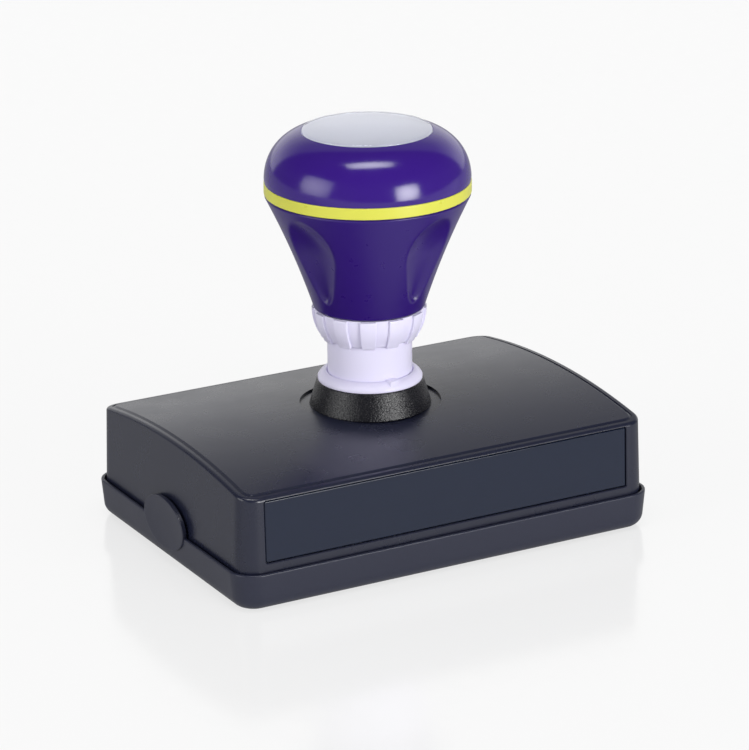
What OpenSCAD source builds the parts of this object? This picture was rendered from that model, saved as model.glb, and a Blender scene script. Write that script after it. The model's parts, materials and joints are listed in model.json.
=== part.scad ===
// Large rectangular pre-inked stamp: a knob on a sprung stem presses an inked die
// through an open-bottomed housing, a ribbed ring under the knob sets the depth of
// the press, and a pull-off dust cover closes the printing face.
// Millimetres. +Z is up, the label window faces -Y, and Z = 0 is the cover's underside.

/* [Printing face] */
// Length of the printing face
die_w = 90; // [60:1:120]
// Depth of the printing face, front to back
die_d = 60; // [40:1:90]
// Width of the die's clamped edge at its two ends
die_edge_x = 0.6; // [0.4:0.1:2]
// Width of the die's clamped edge along its two sides
die_edge_y = 1.35; // [0.4:0.05:2]
// Thickness of the die's clamped edge
die_edge_t = 1.2; // [0.8:0.1:2]
// How far the die stands out of its frame
die_proud = 0.6; // [0.3:0.1:1]
// Thickness of the clamping frame
frame_t = 1.2; // [0.8:0.1:2]
// Wall of the die holder
holder_wall = 1; // [0.8:0.1:1.6]
// Thickness of the die holder's plate
holder_plate_t = 2; // [1.5:0.1:3]
// Height of the stiffening ribs on the holder
holder_rib_h = 1.6; // [0.8:0.1:2.4]
// Thickness of those ribs
holder_rib_t = 1.2; // [0.8:0.1:2]

/* [Press and depth setting] */
// Travel of the knob when it is pressed
press_travel = 4.5; // [3:0.1:5]
// How far the die then stands below the housing's rim
die_squeeze = 0.3; // [0.1:0.1:0.6]
// Length of neck that shows between flange and depth ring, for the press and the depth setting
neck_show = 7.9; // [6.9:0.1:10]

/* [Dust cover] */
// Wall of the cover round the skirt
cover_wall = 1.8; // [1.4:0.1:2.4]
// Thickness of the cover's floor
cover_floor = 1.6; // [1.2:0.1:2.4]
// Height of the cover
cover_h = 8.4; // [7:0.1:11]
// Height of the inner ledge that the housing stands on, above the floor
cover_ledge_h = 1.6; // [0.8:0.1:2.4]
// Width of that ledge
cover_ledge_w = 1; // [0.6:0.1:1.2]
// Depth of the rebate inside the rim that takes the housing's foot
cover_rebate_h = 1.4; // [1:0.1:2]
// Gap between the rim and the housing's sides
cover_slot = 0.5; // [0.3:0.05:0.6]
// Radius of the cover's lower edge
cover_round = 3; // [1:0.1:3.4]
// Radius of the outer edge of the cover's rim
cover_rim_round = 0.25; // [0.2:0.05:0.6]
// Inward lean of the cover's wall, from rim to foot
cover_taper = 0.45; // [0:0.05:1]
// Width of the oval thumb tabs at the two ends
tab_w = 18.9; // [12:0.1:24]
// Height of a thumb tab
tab_h = 11.3; // [8:0.1:12]
// Height of a thumb tab's middle above the rim
tab_up = 0.55; // [0:0.05:1.5]
// Depth of a thumb tab's root in the cover's wall
tab_root = 0.65; // [0.5:0.05:0.7]
// How far a thumb tab stands out of the cover's wall
tab_proud = 0.25; // [0.2:0.05:1]
// Radius of a thumb tab's edge
tab_round = 0.2; // [0.2:0.1:0.6]
// Dish of a thumb tab's face
tab_dish = 0.25; // [0:0.05:0.4]

/* [Housing] */
// Wall of the skirt that goes into the cover
skirt_wall = 1.3; // [1:0.1:1.8]
// How far the cover stands out beyond the housing
cover_step = 1.2; // [1:0.1:1.6]
// Gap between the rebate in the cover's rim and the housing's foot
shoulder_gap = 0.3; // [0.2:0.1:0.8]
// Height of the housing's sides above that gap
side_h = 17.3; // [15:0.1:20]
// Inward lean of the sides over their height
side_draft = 0.5; // [0.2:0.1:1]
// Radius of the housing's vertical corners
corner_r = 4.5; // [4:0.1:7]
// Rise of the vaulted top between its two long edges
vault_rise = 3.1; // [2.4:0.1:4]
// Thickness of the vaulted top
roof_t = 2.4; // [1.8:0.1:3]
// Radius of the rounded edge round the top
rim_round = 1.2; // [0.6:0.1:1.6]
// Flat land between the rounded edge and the groove round the top panel
panel_land = 0.2; // [0.1:0.05:1]
// Height of the top panel above its border
panel_step = 0.15; // [0.1:0.05:0.4]
// Width of the groove round the top panel
groove_w = 0.4; // [0.3:0.05:0.8]
// Depth of the groove below the panel
groove_depth = 0.4; // [0.3:0.05:0.6]
// Width of the sunk seat outside the collar
seat_margin = 2.1; // [1.2:0.1:4]
// Depth of the sunk seat below the vault
seat_cut = 0.5; // [0.3:0.1:0.9]
// Thickness of the boss under the seat, at the collar's edge
seat_t = 2.6; // [2:0.1:3.2]
// Width of the boss under the seat, outside the nut
boss_margin = 1.5; // [1:0.1:3]

/* [Label window] */
// Margin between the window's recess and the ends of the front face
window_margin = 5.3; // [4:0.1:12]
// Margin below the recess
window_below = 2.9; // [2.2:0.1:3.6]
// Margin above the recess
window_above = 0.8; // [0.6:0.1:2]
// Depth of the recess
window_depth = 1; // [0.8:0.05:1.2]
// Thickness of the window plate
window_t = 0.75; // [0.4:0.05:0.8]
// Gap round the window plate
window_gap = 0.3; // [0.15:0.05:0.6]

/* [Collar and guide sleeve] */
// Width of the collar's top edge outside the flange
collar_edge = 0.2; // [0:0.05:1]
// Flare of the collar from its top to its widest place
collar_flare = 1.8; // [1:0.1:3]
// Undercut of the collar below its widest place
collar_under = 0.4; // [0.2:0.1:1]
// Height of the collar at its front and back
collar_h = 6.1; // [4:0.1:8]
// Height of the collar's widest place above its lowest edge
collar_lip_h = 0.3; // [0.2:0.1:0.8]
// Width of the sleeve's flange outside the neck
flange_w = 2.2; // [1.5:0.1:3]
// Height of the sleeve's domed flange
flange_h = 2; // [1.5:0.1:3.5]
// Swell of the flange's dome
flange_swell = 0.3; // [0:0.05:0.4]
// Height of the flange's upright rim
flange_rim_h = 0.6; // [0.3:0.1:1]
// Radius of the neck
neck_r = 9.2; // [8.8:0.05:10]
// Length of neck inside the knob, above the depth ring
neck_inside = 6.8; // [5:0.1:9]
// Wall of the neck round the spring's chamber
neck_wall = 1.2; // [1:0.05:1.6]
// Radius of the sleeve's threaded tail
tail_r = 7; // [6.5:0.1:7.6]
// Width of the keyway in the neck and of the block at its foot
key_w = 2.3; // [2:0.1:3.4]
// Depth of the keyway
key_depth = 0.3; // [0.25:0.05:0.4]
// Thickness of the block at the keyway's foot
key_block_t = 1.9; // [1:0.1:2]
// Height of the nut under the housing's top
nut_h = 2.8; // [2:0.1:3.2]
// Width of the nut across its corners
nut_w = 20; // [18:0.5:23]
// Thickness of the washer on the nut
nut_washer_t = 0.6; // [0.4:0.1:1]

/* [Stem and spring] */
// Radius of the stem
stem_r = 5; // [4.5:0.1:5.4]
// Radius of the stem's foot
stem_foot_r = 10.5; // [10:0.1:12]
// Thickness of the stem's foot
stem_foot_t = 3; // [2.4:0.1:3.4]
// Radius of the stem's upper end, in the knob's web
spigot_r = 3.5; // [3:0.1:4]
// Shank radius of the screw in the stem's upper end
stem_screw_r = 1.5; // [1.2:0.1:1.8]
// Length of that screw's shank
stem_screw_l = 10; // [8:0.5:14]
// Head radius of that screw
stem_screw_head_r = 3.4; // [2.6:0.1:4]
// Head height of that screw
stem_screw_head_h = 2.2; // [1.4:0.1:2.6]
// Distance of the holder screws from the edge of the stem's foot
holder_screw_edge = 2.9; // [2.4:0.1:3.2]
// Head radius of a holder screw
holder_screw_head_r = 1.65; // [1.4:0.05:1.8]
// Head height of a holder screw
holder_screw_head_h = 1.2; // [0.8:0.1:1.4]
// Shank radius of a holder screw
holder_screw_r = 0.9; // [0.7:0.1:1.1]
// Diameter of the spring's wire
wire_d = 1.2; // [0.8:0.1:1.3]
// Room between the spring and the wall of its chamber
coil_room = 0.7; // [0.4:0.05:0.9]
// Turns of the spring
coil_turns = 8; // [6:1:10]
// Radius of the washer under the stem's screw
stem_washer_r = 6; // [5:0.1:8]
// Thickness of the washers above the spring and under the stem's screw
washer_t = 0.6; // [0.4:0.1:0.8]

/* [Depth ring] */
// Height of the ring
ring_h = 6.5; // [6.5:0.1:9]
// Wall over the ribs at the top, round the grip's tail
ring_top_wall = 2.04; // [1.8:0.01:2.6]
// Wall over the ribs at the foot, round the neck
ring_foot_wall = 1.25; // [1.1:0.05:1.7]
// Swell of the ring's side
ring_swell = 0.45; // [0.2:0.05:0.6]
// Number of ribs
ribs = 12; // [8:1:16]
// Width of a rib, as an angle
rib_angle = 17; // [10:1:20]
// Height of the ribs
rib_h = 0.55; // [0.2:0.05:0.6]
// Height of the plain rim above the ribs
ring_rim_h = 0.3; // [0.2:0.1:0.8]
// Radius of the ring's lower edge
ring_round = 0.5; // [0.3:0.05:0.6]
// Height of the inner ledge that carries the drag washer
ring_ledge_h = 2.3; // [2:0.1:3]
// Thickness of the drag washer
drag_washer_t = 0.4; // [0.3:0.05:0.6]

/* [Knob] */
// Largest radius of the knob
knob_r = 22.2; // [21:0.1:25]
// Width of the depth ring's edge outside the grip's foot
ring_edge = 0.1; // [0:0.05:0.8]
// Height of the grip
grip_h = 25.4; // [24:0.1:30]
// Hollow of the grip's side between foot and shoulder
grip_hollow = 0.5; // [0:0.05:1]
// Radius of the grip's lower edge
grip_foot_round = 0.9; // [0.4:0.1:1.2]
// Radius of the grip's upper edge
grip_top_round = 0.5; // [0.3:0.1:0.8]
// How far the grip's upper edge lies inside the accent band
grip_inset = 0.15; // [0.05:0.05:0.4]
// Wall of the grip's tail inside the ring
grip_tail_wall = 0.9; // [0.7:0.05:1.2]
// Radius of the hollow above the grip's web
grip_hollow_r = 12.5; // [8:0.5:13]
// Height of the accent band
band_h = 2.5; // [1:0.1:4]
// Width of the accent band, from the cap's tube outwards
band_w = 3.2; // [2.4:0.1:4]
// How far the accent band stands out of the cap
band_proud = 0.05; // [0:0.05:0.3]
// Wall of the cap's tube inside the band and the grip
cap_tube_wall = 2; // [1.5:0.1:2.5]
// Length of that tube inside the grip
cap_tube_l = 1.9; // [1.2:0.1:2.6]
// Height of the cap above the band, up to the lens
cap_h = 11; // [9:0.1:13]
// Width of the cap's domed shoulder
cap_shoulder_w = 13.2; // [11:0.1:15]
// Fullness of that dome: 2 is elliptic, more is squarer
cap_fullness = 2.25; // [2:0.05:2.6]
// Radius of the lens
lens_r = 14; // [12:0.1:15]
// Height of the lens at its rim
lens_t = 1.7; // [1.2:0.1:2]
// Rise of the lens in the middle
lens_rise = 1.2; // [0.4:0.1:1.6]
// Thickness of the disc under the lens
lens_disc_t = 0.5; // [0.3:0.1:0.8]
// Thickness of the cap under that disc
lens_seat_t = 1.6; // [1.2:0.1:2]
// Thickness of the knob's web
web_t = 4; // [3:0.1:5]

/* [Finger flutes] */
// Number of flutes
flutes = 4; // [3:1:6]
// Angle of the first flute from +X
flute_start = 18; // [0:1:90]
// Height of the flute's narrow end above the grip's foot
flute_foot_up = 4.6; // [3:0.1:6]
// Depth of the flute's widest place below the grip's top
flute_head_down = 11.2; // [8:0.1:12]
// Depth of the flute at its narrow end
flute_foot_depth = 0.9; // [0.6:0.1:1.4]
// Depth of the flute at its widest place
flute_head_depth = 1.9; // [1:0.1:2.2]
// Hollowing radius at the narrow end
flute_foot_r = 1.6; // [1:0.1:3]
// Hollowing radius at the widest place
flute_head_r = 18; // [9:0.5:20]

/* [Clearances] */
// Radial running clearance of the stem and of the depth ring
run_fit = 0.06; // [0.03:0.01:0.1]
// Clearance of parts that are fixed together
fixed_fit = 0.05; // [0.02:0.01:0.1]
// Free gap between parts that pass each other
pass_gap = 0.25; // [0.2:0.05:0.3]
// Gap between the holder and the housing's inner wall
holder_gap = 0.45; // [0.3:0.05:0.8]
// Gap at a stop when the stamp is at rest
stop_gap = 0.2; // [0.1:0.05:0.4]
// Spare height over the neck at full press
neck_spare = 1.5; // [1:0.1:3]
// Small break on a moulded edge
edge_break = 0.15; // [0.1:0.05:0.2]

/* [Hidden] */

// Smoothness of round forms, of blended corners and of the large vault
$fn = 96;
blend_fn = 32;
vault_fn = 720;
// Steps of the rounded rim along an end of the housing
rim_steps = 16;
// Height by which the rounded rim is built above the vault that trims it
rim_lift = 0.05;
// Lean of the grip's side where its lower edge runs into it
grip_lean = 20;
// Overlap of fused forms, and overshoot of cuts
eps = 0.01;
cut = 1;

// Plan sizes, from the printing face outwards
both = [1, 1];
die_size = [die_w, die_d];
edge_size = die_size + 2 * [die_edge_x, die_edge_y];
pocket_size = edge_size + 4 * fixed_fit * both;
holder_size = pocket_size + 2 * holder_wall * both;
skirt_inner = holder_size + 2 * holder_gap * both;
skirt_size = skirt_inner + 2 * skirt_wall * both;
cover_inner = skirt_size + 2 * pass_gap * both;
cover_size = cover_inner + 2 * cover_wall * both;
body_size = cover_size - 2 * cover_step * both;
panel_border = rim_round + panel_land;
panel_size = body_size - 2 * (side_draft + panel_border) * both;

// Corner radii, one inside the other
least_r = 0.3;
cover_corner_r = corner_r + cover_step;
cover_inner_r = cover_corner_r - cover_wall;
skirt_r = cover_inner_r - pass_gap;
skirt_inner_r = max(least_r, skirt_r - skirt_wall);
holder_r = max(least_r, skirt_inner_r - holder_gap);
pocket_r = max(least_r, holder_r - holder_wall);

// Heights of the cover and the housing
skirt_z = cover_floor + cover_ledge_h;
rebate_z = cover_h - cover_rebate_h;
shoulder_z = rebate_z + shoulder_gap;
edge_z = shoulder_z + side_h;
crown_z = edge_z + vault_rise;
boss_r = nut_w / 2 + boss_margin;
vault_half = body_size.y / 2 - side_draft;
vault_r = (vault_half * vault_half + vault_rise * vault_rise) / (2 * vault_rise);
draft_angle = atan(side_draft / side_h);
window_size = [body_size.x - 2 * window_margin, side_h - window_below - window_above];

// Radii round the stem's axis, from the neck outwards
neck_bore_r = neck_r + pass_gap;
chamber_r = neck_r - neck_wall;
coil_r = chamber_r - coil_room - wire_d / 2;
key_block_r = neck_r + key_block_t;
flange_r = neck_r + flange_w;
collar_top_r = flange_r + collar_edge;
collar_r = collar_top_r + collar_flare;
collar_foot_r = collar_r - collar_under;
seat_r = collar_r + seat_margin;
holder_screw_ring = stem_foot_r - holder_screw_edge;
grip_tail_r = neck_bore_r + grip_tail_wall;
ring_bore_r = grip_tail_r + run_fit;
ring_foot_r = neck_bore_r + ring_foot_wall;
ring_top_r = ring_bore_r + ring_top_wall;
grip_foot_r = ring_top_r - ring_edge;
cap_tube_r = knob_r - band_w;
cap_bore_r = cap_tube_r - cap_tube_wall;

// Heights of the collar, the sleeve and its nut
seat_z = vault_height(collar_r) - seat_cut;
boss_z = seat_z - seat_t;
collar_top_z = seat_z + collar_h;
neck_z = collar_top_z + flange_h;
ledge_z = collar_top_z + flange_rim_h;
nut_top_z = boss_z - nut_washer_t;
nut_z = nut_top_z - nut_h;
tail_z = nut_z - 2 * stop_gap;
neck_groove = 0.35;

// Heights of the die, its holder and the stem's foot
die_z = skirt_z + press_travel - die_squeeze;
frame_z = die_z + die_proud;
holder_z = frame_z + frame_t;
edge_top_z = holder_z + die_edge_t;
foot_top_z = tail_z - stop_gap;
plate_top_z = foot_top_z - stem_foot_t;
plate_z = plate_top_z - holder_plate_t;
holder_screw_z = foot_top_z - holder_screw_head_h - stop_gap;
holder_screw_l = holder_screw_z - plate_z - stop_gap;

// Heights of the depth ring and the knob
ring_z = neck_z + neck_show;
ring_ledge_z = ring_z + ring_ledge_h;
ring_top_z = ring_z + ring_h;
grip_tail_z = ring_ledge_z + drag_washer_t + pass_gap;
grip_z = ring_top_z + pass_gap;
grip_top_z = grip_z + grip_h;
neck_top_z = ring_top_z + neck_inside;
web_z = neck_top_z + press_travel + neck_spare;
web_top_z = web_z + web_t;
cap_z = grip_top_z + band_h;
cap_top_z = cap_z + cap_h;
cap_tube_z = grip_top_z - cap_tube_l;
lens_z = cap_top_z - lens_t;
lens_pocket_z = lens_z - lens_disc_t - fixed_fit;
flute_head_up = grip_h - flute_head_down;
grip_foot = [grip_foot_r, grip_z + grip_foot_round * (1 - sin(grip_lean))];
grip_shoulder = [knob_r + band_proud - grip_inset, grip_top_z - grip_top_round];

// Heights of the stem's screw and of the spring
spigot_top_z = web_top_z - stop_gap;
screw_seat_z = web_top_z + washer_t;
spring_top_z = web_z - washer_t;

black = "#2b2c30";
soft_black = "#24252a";
purple = "#3a1c86";
yellow = "#dede5a";
white = "#dddaf2";
steel = "#b9bcc0";
grey = "#3b3c42";

// Points on a shallow bow from a to b, swelled to the right of the way from a to b
function bowed(a, b, swell, steps = 8) =
    let (way = b - a, side = [way.y, -way.x] / norm(way))
    [for (i = [0:steps]) let (t = i / steps) a + t * way + 4 * swell * t * (1 - t) * side];

// Points on a dome that is fuller than an ellipse, up from its foot and in to its edge
function dome(foot, width, edge, fullness, steps = 14) =
    let (power = 2 / fullness, end = acos(pow((edge.x - foot.x + width) / width, 1 / power)),
        tall = (edge.y - foot.y) / pow(sin(end), power))
    [for (i = [0:steps]) let (a = end * i / steps)
        foot + [width * (pow(cos(a), power) - 1), tall * pow(sin(a), power)]];

// Points on an elliptic arc about a centre, from angle a0 to angle a1
function arc(centre, radii, a0, a1, steps = 8) =
    [for (i = [0:steps]) let (a = a0 + (a1 - a0) * i / steps) centre + [radii.x * cos(a), radii.y * sin(a)]];

// Radius of the grip's side at a height above its foot
function grip_radius(up) =
    let (t = (up + grip_z - grip_foot.y) / (grip_shoulder.y - grip_foot.y))
    grip_foot.x + t * (grip_shoulder.x - grip_foot.x) - 4 * grip_hollow * t * (1 - t);

module at_corners(size, r) {
    for (sx = [-1, 1], sy = [-1, 1])
        translate([sx * (size.x / 2 - r), sy * (size.y / 2 - r), 0]) children();
}

module rounded_rect(size, r) {
    square([size.x - 2 * r, size.y], center = true);
    square([size.x, size.y - 2 * r], center = true);
    at_corners(size, r) circle(r);
}

module rounded_box(size, h, r) {
    linear_extrude(h) rounded_rect(size, r);
}

module ring_solid(inner_r, outer_r, z0, z1) {
    translate([0, 0, z0]) difference() {
        cylinder(r = outer_r, h = z1 - z0);
        translate([0, 0, -cut]) cylinder(r = inner_r, h = z1 - z0 + 2 * cut);
    }
}

module at_holder_screws() {
    for (a = [45:90:315]) rotate(a) translate([holder_screw_ring, 0, 0]) children();
}

// Everything under a vault that lies a given drop below the housing's top
module under_vault(drop) {
    translate([0, 0, crown_z - drop - vault_r]) rotate([0, 90, 0])
        cylinder(r = vault_r, h = 2 * cover_size.x, center = true, $fn = vault_fn);
}

// Height and slope of the housing's top at a distance from its middle line
function vault_height(y) = crown_z - vault_r + sqrt(vault_r * vault_r - y * y);
function vault_slope(y) = asin(y / vault_r);

// Places children on the border round the top panel, upright on the vault
module on_border(x, y) {
    translate([x, y, vault_height(y) - panel_step + rim_lift]) rotate([-vault_slope(y), 0, 0]) children();
}

// The front face's own frame: x along it, y up it and z out of it
module on_front_face() {
    translate([0, -body_size.y / 2, shoulder_z]) rotate([90 - draft_angle, 0, 0]) children();
}

// Disc with a rounded rim and its top at Z = 0
module rounded_disc(r) {
    rotate_extrude($fn = blend_fn) polygon(concat(
        [[0, -rim_round], [0, 0]],
        arc([r - rim_round, -rim_round], rim_round * both, 90, 0, 6)
    ));
}

// Drafted sides that end in a rounded rim along the vault
module housing_sides() {
    top_r = corner_r - side_draft;
    half = body_size / 2 - side_draft * both;
    ends = half.y - top_r;
    hull() {
        translate([0, 0, shoulder_z]) at_corners(body_size, corner_r)
            cylinder(r = corner_r, h = eps, $fn = blend_fn);
        for (sx = [-1, 1]) {
            for (sy = [-1, 1]) on_border(sx * (half.x - top_r), sy * ends) rounded_disc(top_r);
            for (i = [1:rim_steps - 1]) on_border(sx * (half.x - rim_round), ends * (2 * i / rim_steps - 1))
                rounded_disc(rim_round);
        }
    }
}

// Housing: drafted sides, a vaulted top with a grooved panel, and a skirt for the cover
module housing_outside() {
    full_h = side_h + vault_rise;
    panel_r = corner_r - side_draft - panel_border;
    difference() {
        intersection() {
            housing_sides();
            under_vault(panel_step);
        }
        difference() {
            translate([0, 0, shoulder_z + eps]) rounded_box(panel_size, full_h + cut, panel_r);
            under_vault(groove_depth);
        }
    }
    intersection() {
        translate([0, 0, shoulder_z + eps])
            rounded_box(panel_size - 2 * groove_w * both, full_h, max(least_r, panel_r - groove_w));
        under_vault(0);
    }
    translate([0, 0, skirt_z]) rounded_box(skirt_size, shoulder_z - skirt_z + eps, skirt_r);
}

module housing_inside() {
    intersection() {
        translate([0, 0, skirt_z - cut]) rounded_box(skirt_inner, crown_z, skirt_inner_r);
        under_vault(roof_t);
    }
}

module housing() color(black) difference() {
    union() {
        difference() {
            housing_outside();
            housing_inside();
        }
        translate([0, 0, boss_z]) cylinder(r = boss_r, h = seat_t - eps);
    }
    difference() {
        translate([0, 0, boss_z]) cylinder(r = seat_r, h = crown_z);
        under_vault(seat_cut);
    }
    translate([0, 0, boss_z - cut]) cylinder(r = tail_r + fixed_fit, h = crown_z);
    on_front_face() translate([-window_size.x / 2, window_below, -window_depth])
        cube([window_size.x, window_size.y, 2 * window_depth]);
}

module label_window() color("#303a4a") on_front_face()
    translate([-window_size.x / 2 + window_gap, window_below + window_gap, -window_depth])
        cube([window_size.x - 2 * window_gap, window_size.y - 2 * window_gap, window_t]);

// Conical collar between the housing and the sleeve, with its foot trimmed to the vaulted seat
module collar() color(soft_black) difference() {
    rotate_extrude() polygon(concat(
        [[tail_r + fixed_fit, seat_z]],
        arc([collar_foot_r, seat_z + collar_lip_h], [collar_r - collar_foot_r, collar_lip_h], -90, 0, 6),
        [[collar_top_r, collar_top_z], [tail_r + fixed_fit, collar_top_z]]
    ));
    under_vault(seat_cut - fixed_fit);
}

// Guide sleeve: sloped flange, keyed neck with the spring chamber, and threaded tail
module guide_sleeve() color(white) {
    bore_r = stem_r + run_fit;
    groove_r = neck_r + neck_groove;
    difference() {
        rotate_extrude() polygon(concat(
            [[bore_r, tail_z], [tail_r, tail_z], [tail_r, collar_top_z],
             [flange_r - edge_break, collar_top_z], [flange_r, collar_top_z + edge_break]],
            bowed([flange_r, ledge_z], [groove_r, neck_z], flange_swell, 6),
            [[neck_r, neck_z - neck_groove], [neck_r, neck_top_z - neck_groove],
             [neck_r - neck_groove, neck_top_z], [chamber_r, neck_top_z], [chamber_r, ledge_z],
             [bore_r, ledge_z]]
        ));
        translate([-key_w / 2, -neck_r - cut, neck_z + key_depth]) cube([key_w, key_depth + cut, neck_top_z]);
    }
    intersection() {
        translate([-key_w / 2, -key_block_r, collar_top_z + eps])
            cube([key_w, key_block_r - neck_r + key_depth, flange_h + key_depth]);
        cylinder(r = key_block_r, h = web_top_z);
    }
}

module sleeve_washer() color(steel) ring_solid(tail_r + fixed_fit, nut_w / 2, nut_top_z, boss_z);

module sleeve_nut() color(soft_black) difference() {
    translate([0, 0, nut_z]) cylinder(r = nut_w / 2, h = nut_h, $fn = 6);
    translate([0, 0, nut_z - cut]) cylinder(r = tail_r + fixed_fit, h = nut_h + 2 * cut);
}

// Return spring: one wire, with a nearly closed turn at each end
coil_rings = 12;
coil_sides = 6;
closed_gap = 0.5;
closed_pitch = wire_d + closed_gap;
coil_z0 = ledge_z + wire_d / 2 + eps;
coil_z1 = spring_top_z - wire_d / 2 - eps;
open_pitch = (coil_z1 - coil_z0 - 2 * closed_pitch) / (coil_turns - 2);
coil_steps = coil_turns * coil_rings;

function coil_height(turn) =
    coil_z0 + closed_pitch * min(turn, 1) + open_pitch * max(0, min(turn, coil_turns - 1) - 1)
    + closed_pitch * max(0, turn - coil_turns + 1);

function coil_point(i) =
    let (a = 360 * i / coil_rings) [coil_r * cos(a), coil_r * sin(a), coil_height(i / coil_rings)];

function coil_ring(i) =
    let (a = 360 * i / coil_rings, c = coil_point(i))
    [for (k = [0:coil_sides - 1]) let (b = 360 * k / coil_sides)
        c + wire_d / 2 * [cos(b) * cos(a), cos(b) * sin(a), sin(b)]];

// Least gap between neighbouring turns, from the wire's centre points
coil_gap = min([for (i = [0:coil_steps - coil_rings])
    norm(coil_point(i + coil_rings) - coil_point(i))]) - wire_d;

module return_spring() color(steel) {
    echo(least_gap_between_spring_turns = coil_gap);
    last = coil_steps * coil_sides;
    polyhedron(
        points = [for (i = [0:coil_steps]) each coil_ring(i)],
        faces = concat(
            [[for (k = [0:coil_sides - 1]) k]],
            [for (i = [0:coil_steps - 1], k = [0:coil_sides - 1])
                let (p = i * coil_sides, q = p + coil_sides, n = (k + 1) % coil_sides)
                each [[p + k, q + k, q + n], [p + k, q + n, p + n]]],
            [[for (k = [coil_sides - 1:-1:0]) last + k]]
        )
    );
}

// Tapered round-ended cutter: its inner line runs along the flute's valley, from foot to head
module flute_cutter() {
    foot = [grip_radius(flute_foot_up) - flute_foot_depth, grip_z + flute_foot_up];
    head = [grip_radius(flute_head_up) - flute_head_depth, grip_z + flute_head_up];
    way = head - foot;
    out = [way.y, -way.x] / norm(way);
    foot_c = foot + flute_foot_r * out;
    axis = head + flute_head_r * out - foot_c;
    lean = asin((flute_head_r - flute_foot_r) / norm(axis));
    translate([foot_c.x, 0, foot_c.y]) rotate([0, atan2(axis.x, axis.y), 0]) rotate_extrude() polygon(concat(
        arc([0, 0], flute_foot_r * both, -90, -lean, 6),
        arc([0, norm(axis)], flute_head_r * both, -lean, 90, 16)
    ));
}

// Fluted grip: hollow trumpet with a web for the stem and a tail inside the depth ring
module grip_body() color(purple) {
    web_bore_r = spigot_r + fixed_fit;
    key_tip_r = neck_r - key_depth + pass_gap / 2;
    key_root_r = neck_bore_r + edge_break;
    difference() {
        rotate_extrude() polygon(concat(
            [[neck_bore_r, grip_tail_z], [grip_tail_r, grip_tail_z], [grip_tail_r, grip_z],
             [grip_foot_r - 2 * grip_foot_round, grip_z]],
            arc([grip_foot_r - grip_foot_round * cos(grip_lean), grip_z + grip_foot_round],
                grip_foot_round * both, -90, -grip_lean, 5),
            bowed(grip_foot, grip_shoulder, -grip_hollow, 12),
            arc(grip_shoulder - [grip_top_round, 0], grip_top_round * both, 15, 90, 5),
            [[cap_tube_r + fixed_fit, grip_top_z], [cap_tube_r + fixed_fit, cap_tube_z],
             [cap_bore_r, cap_tube_z], [grip_hollow_r, web_top_z], [web_bore_r, web_top_z],
             [web_bore_r, web_z], [neck_bore_r, web_z]]
        ));
        for (i = [0:flutes - 1]) rotate(flute_start + 360 * i / flutes) flute_cutter();
    }
    translate([-key_w / 2 + pass_gap, -key_root_r, grip_tail_z])
        cube([key_w - 2 * pass_gap, key_root_r - key_tip_r, web_z - grip_tail_z + eps]);
}

// Domed cap with a pocket for the lens
module knob_cap() color(purple) {
    seat_under_z = lens_pocket_z - lens_seat_t;
    rotate_extrude() polygon(concat(
        [[cap_bore_r, cap_tube_z], [cap_tube_r, cap_tube_z], [cap_tube_r, cap_z]],
        dome([knob_r, cap_z], cap_shoulder_w, [lens_r + fixed_fit, cap_top_z], cap_fullness),
        [[lens_r + fixed_fit, lens_pocket_z], [0, lens_pocket_z], [0, seat_under_z],
         [lens_r - lens_seat_t, seat_under_z], [cap_bore_r, cap_z + cap_tube_wall]]
    ));
}

module accent_band() color(yellow) ring_solid(cap_tube_r + fixed_fit, knob_r + band_proud, grip_top_z, cap_z);

// Clear plano-convex lens over the knob's disc
module knob_lens() color("#e8ecf2", 0.6) rotate_extrude() polygon(concat(
    [[0, lens_z], [lens_r, lens_z]],
    [for (i = [0:8]) let (t = 1 - i / 8) [lens_r * t, cap_top_z + lens_rise * (1 - t * t)]]
));

module lens_disc() color("#d9dae0")
    translate([0, 0, lens_pocket_z]) cylinder(r = lens_r - pass_gap, h = lens_disc_t);

// Stem: foot on the die holder, shaft in the sleeve, spigot in the knob's web
module stem() color(soft_black) difference() {
    rotate_extrude() polygon([
        [0, plate_top_z], [stem_foot_r, plate_top_z], [stem_foot_r, foot_top_z], [stem_r, foot_top_z],
        [stem_r, web_z], [spigot_r, web_z], [spigot_r, spigot_top_z], [0, spigot_top_z]
    ]);
    translate([0, 0, screw_seat_z - stem_screw_l - stop_gap])
        cylinder(r = stem_screw_r + fixed_fit, h = stem_screw_l + cut);
    at_holder_screws() {
        translate([0, 0, plate_top_z - cut])
            cylinder(r = holder_screw_r + fixed_fit, h = stem_foot_t + 2 * cut);
        translate([0, 0, holder_screw_z]) cylinder(r = holder_screw_head_r + fixed_fit, h = stem_foot_t);
    }
}

// Pan-head screw with a cross slot: head seat at Z = 0, shank downwards
module pan_screw(head_r, head_h, shank_r, shank_l) {
    slot_l = 1.2 * head_r;
    slot_w = 0.24 * head_r;
    difference() {
        union() {
            cylinder(r1 = head_r, r2 = head_r - head_h / 4, h = head_h);
            translate([0, 0, -shank_l]) cylinder(r = shank_r, h = shank_l + eps);
        }
        for (a = [0, 90]) rotate(a) translate([-slot_l / 2, -slot_w / 2, head_h / 2])
            cube([slot_l, slot_w, head_h]);
    }
}

module stem_screw() color(steel) translate([0, 0, screw_seat_z])
    pan_screw(stem_screw_head_r, stem_screw_head_h, stem_screw_r, stem_screw_l);

module stem_washer() color(steel)
    ring_solid(stem_screw_r + fixed_fit, stem_washer_r, web_top_z, screw_seat_z);

module spring_washer() color(steel) ring_solid(stem_r + fixed_fit, coil_r + wire_d, spring_top_z, web_z);

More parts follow.
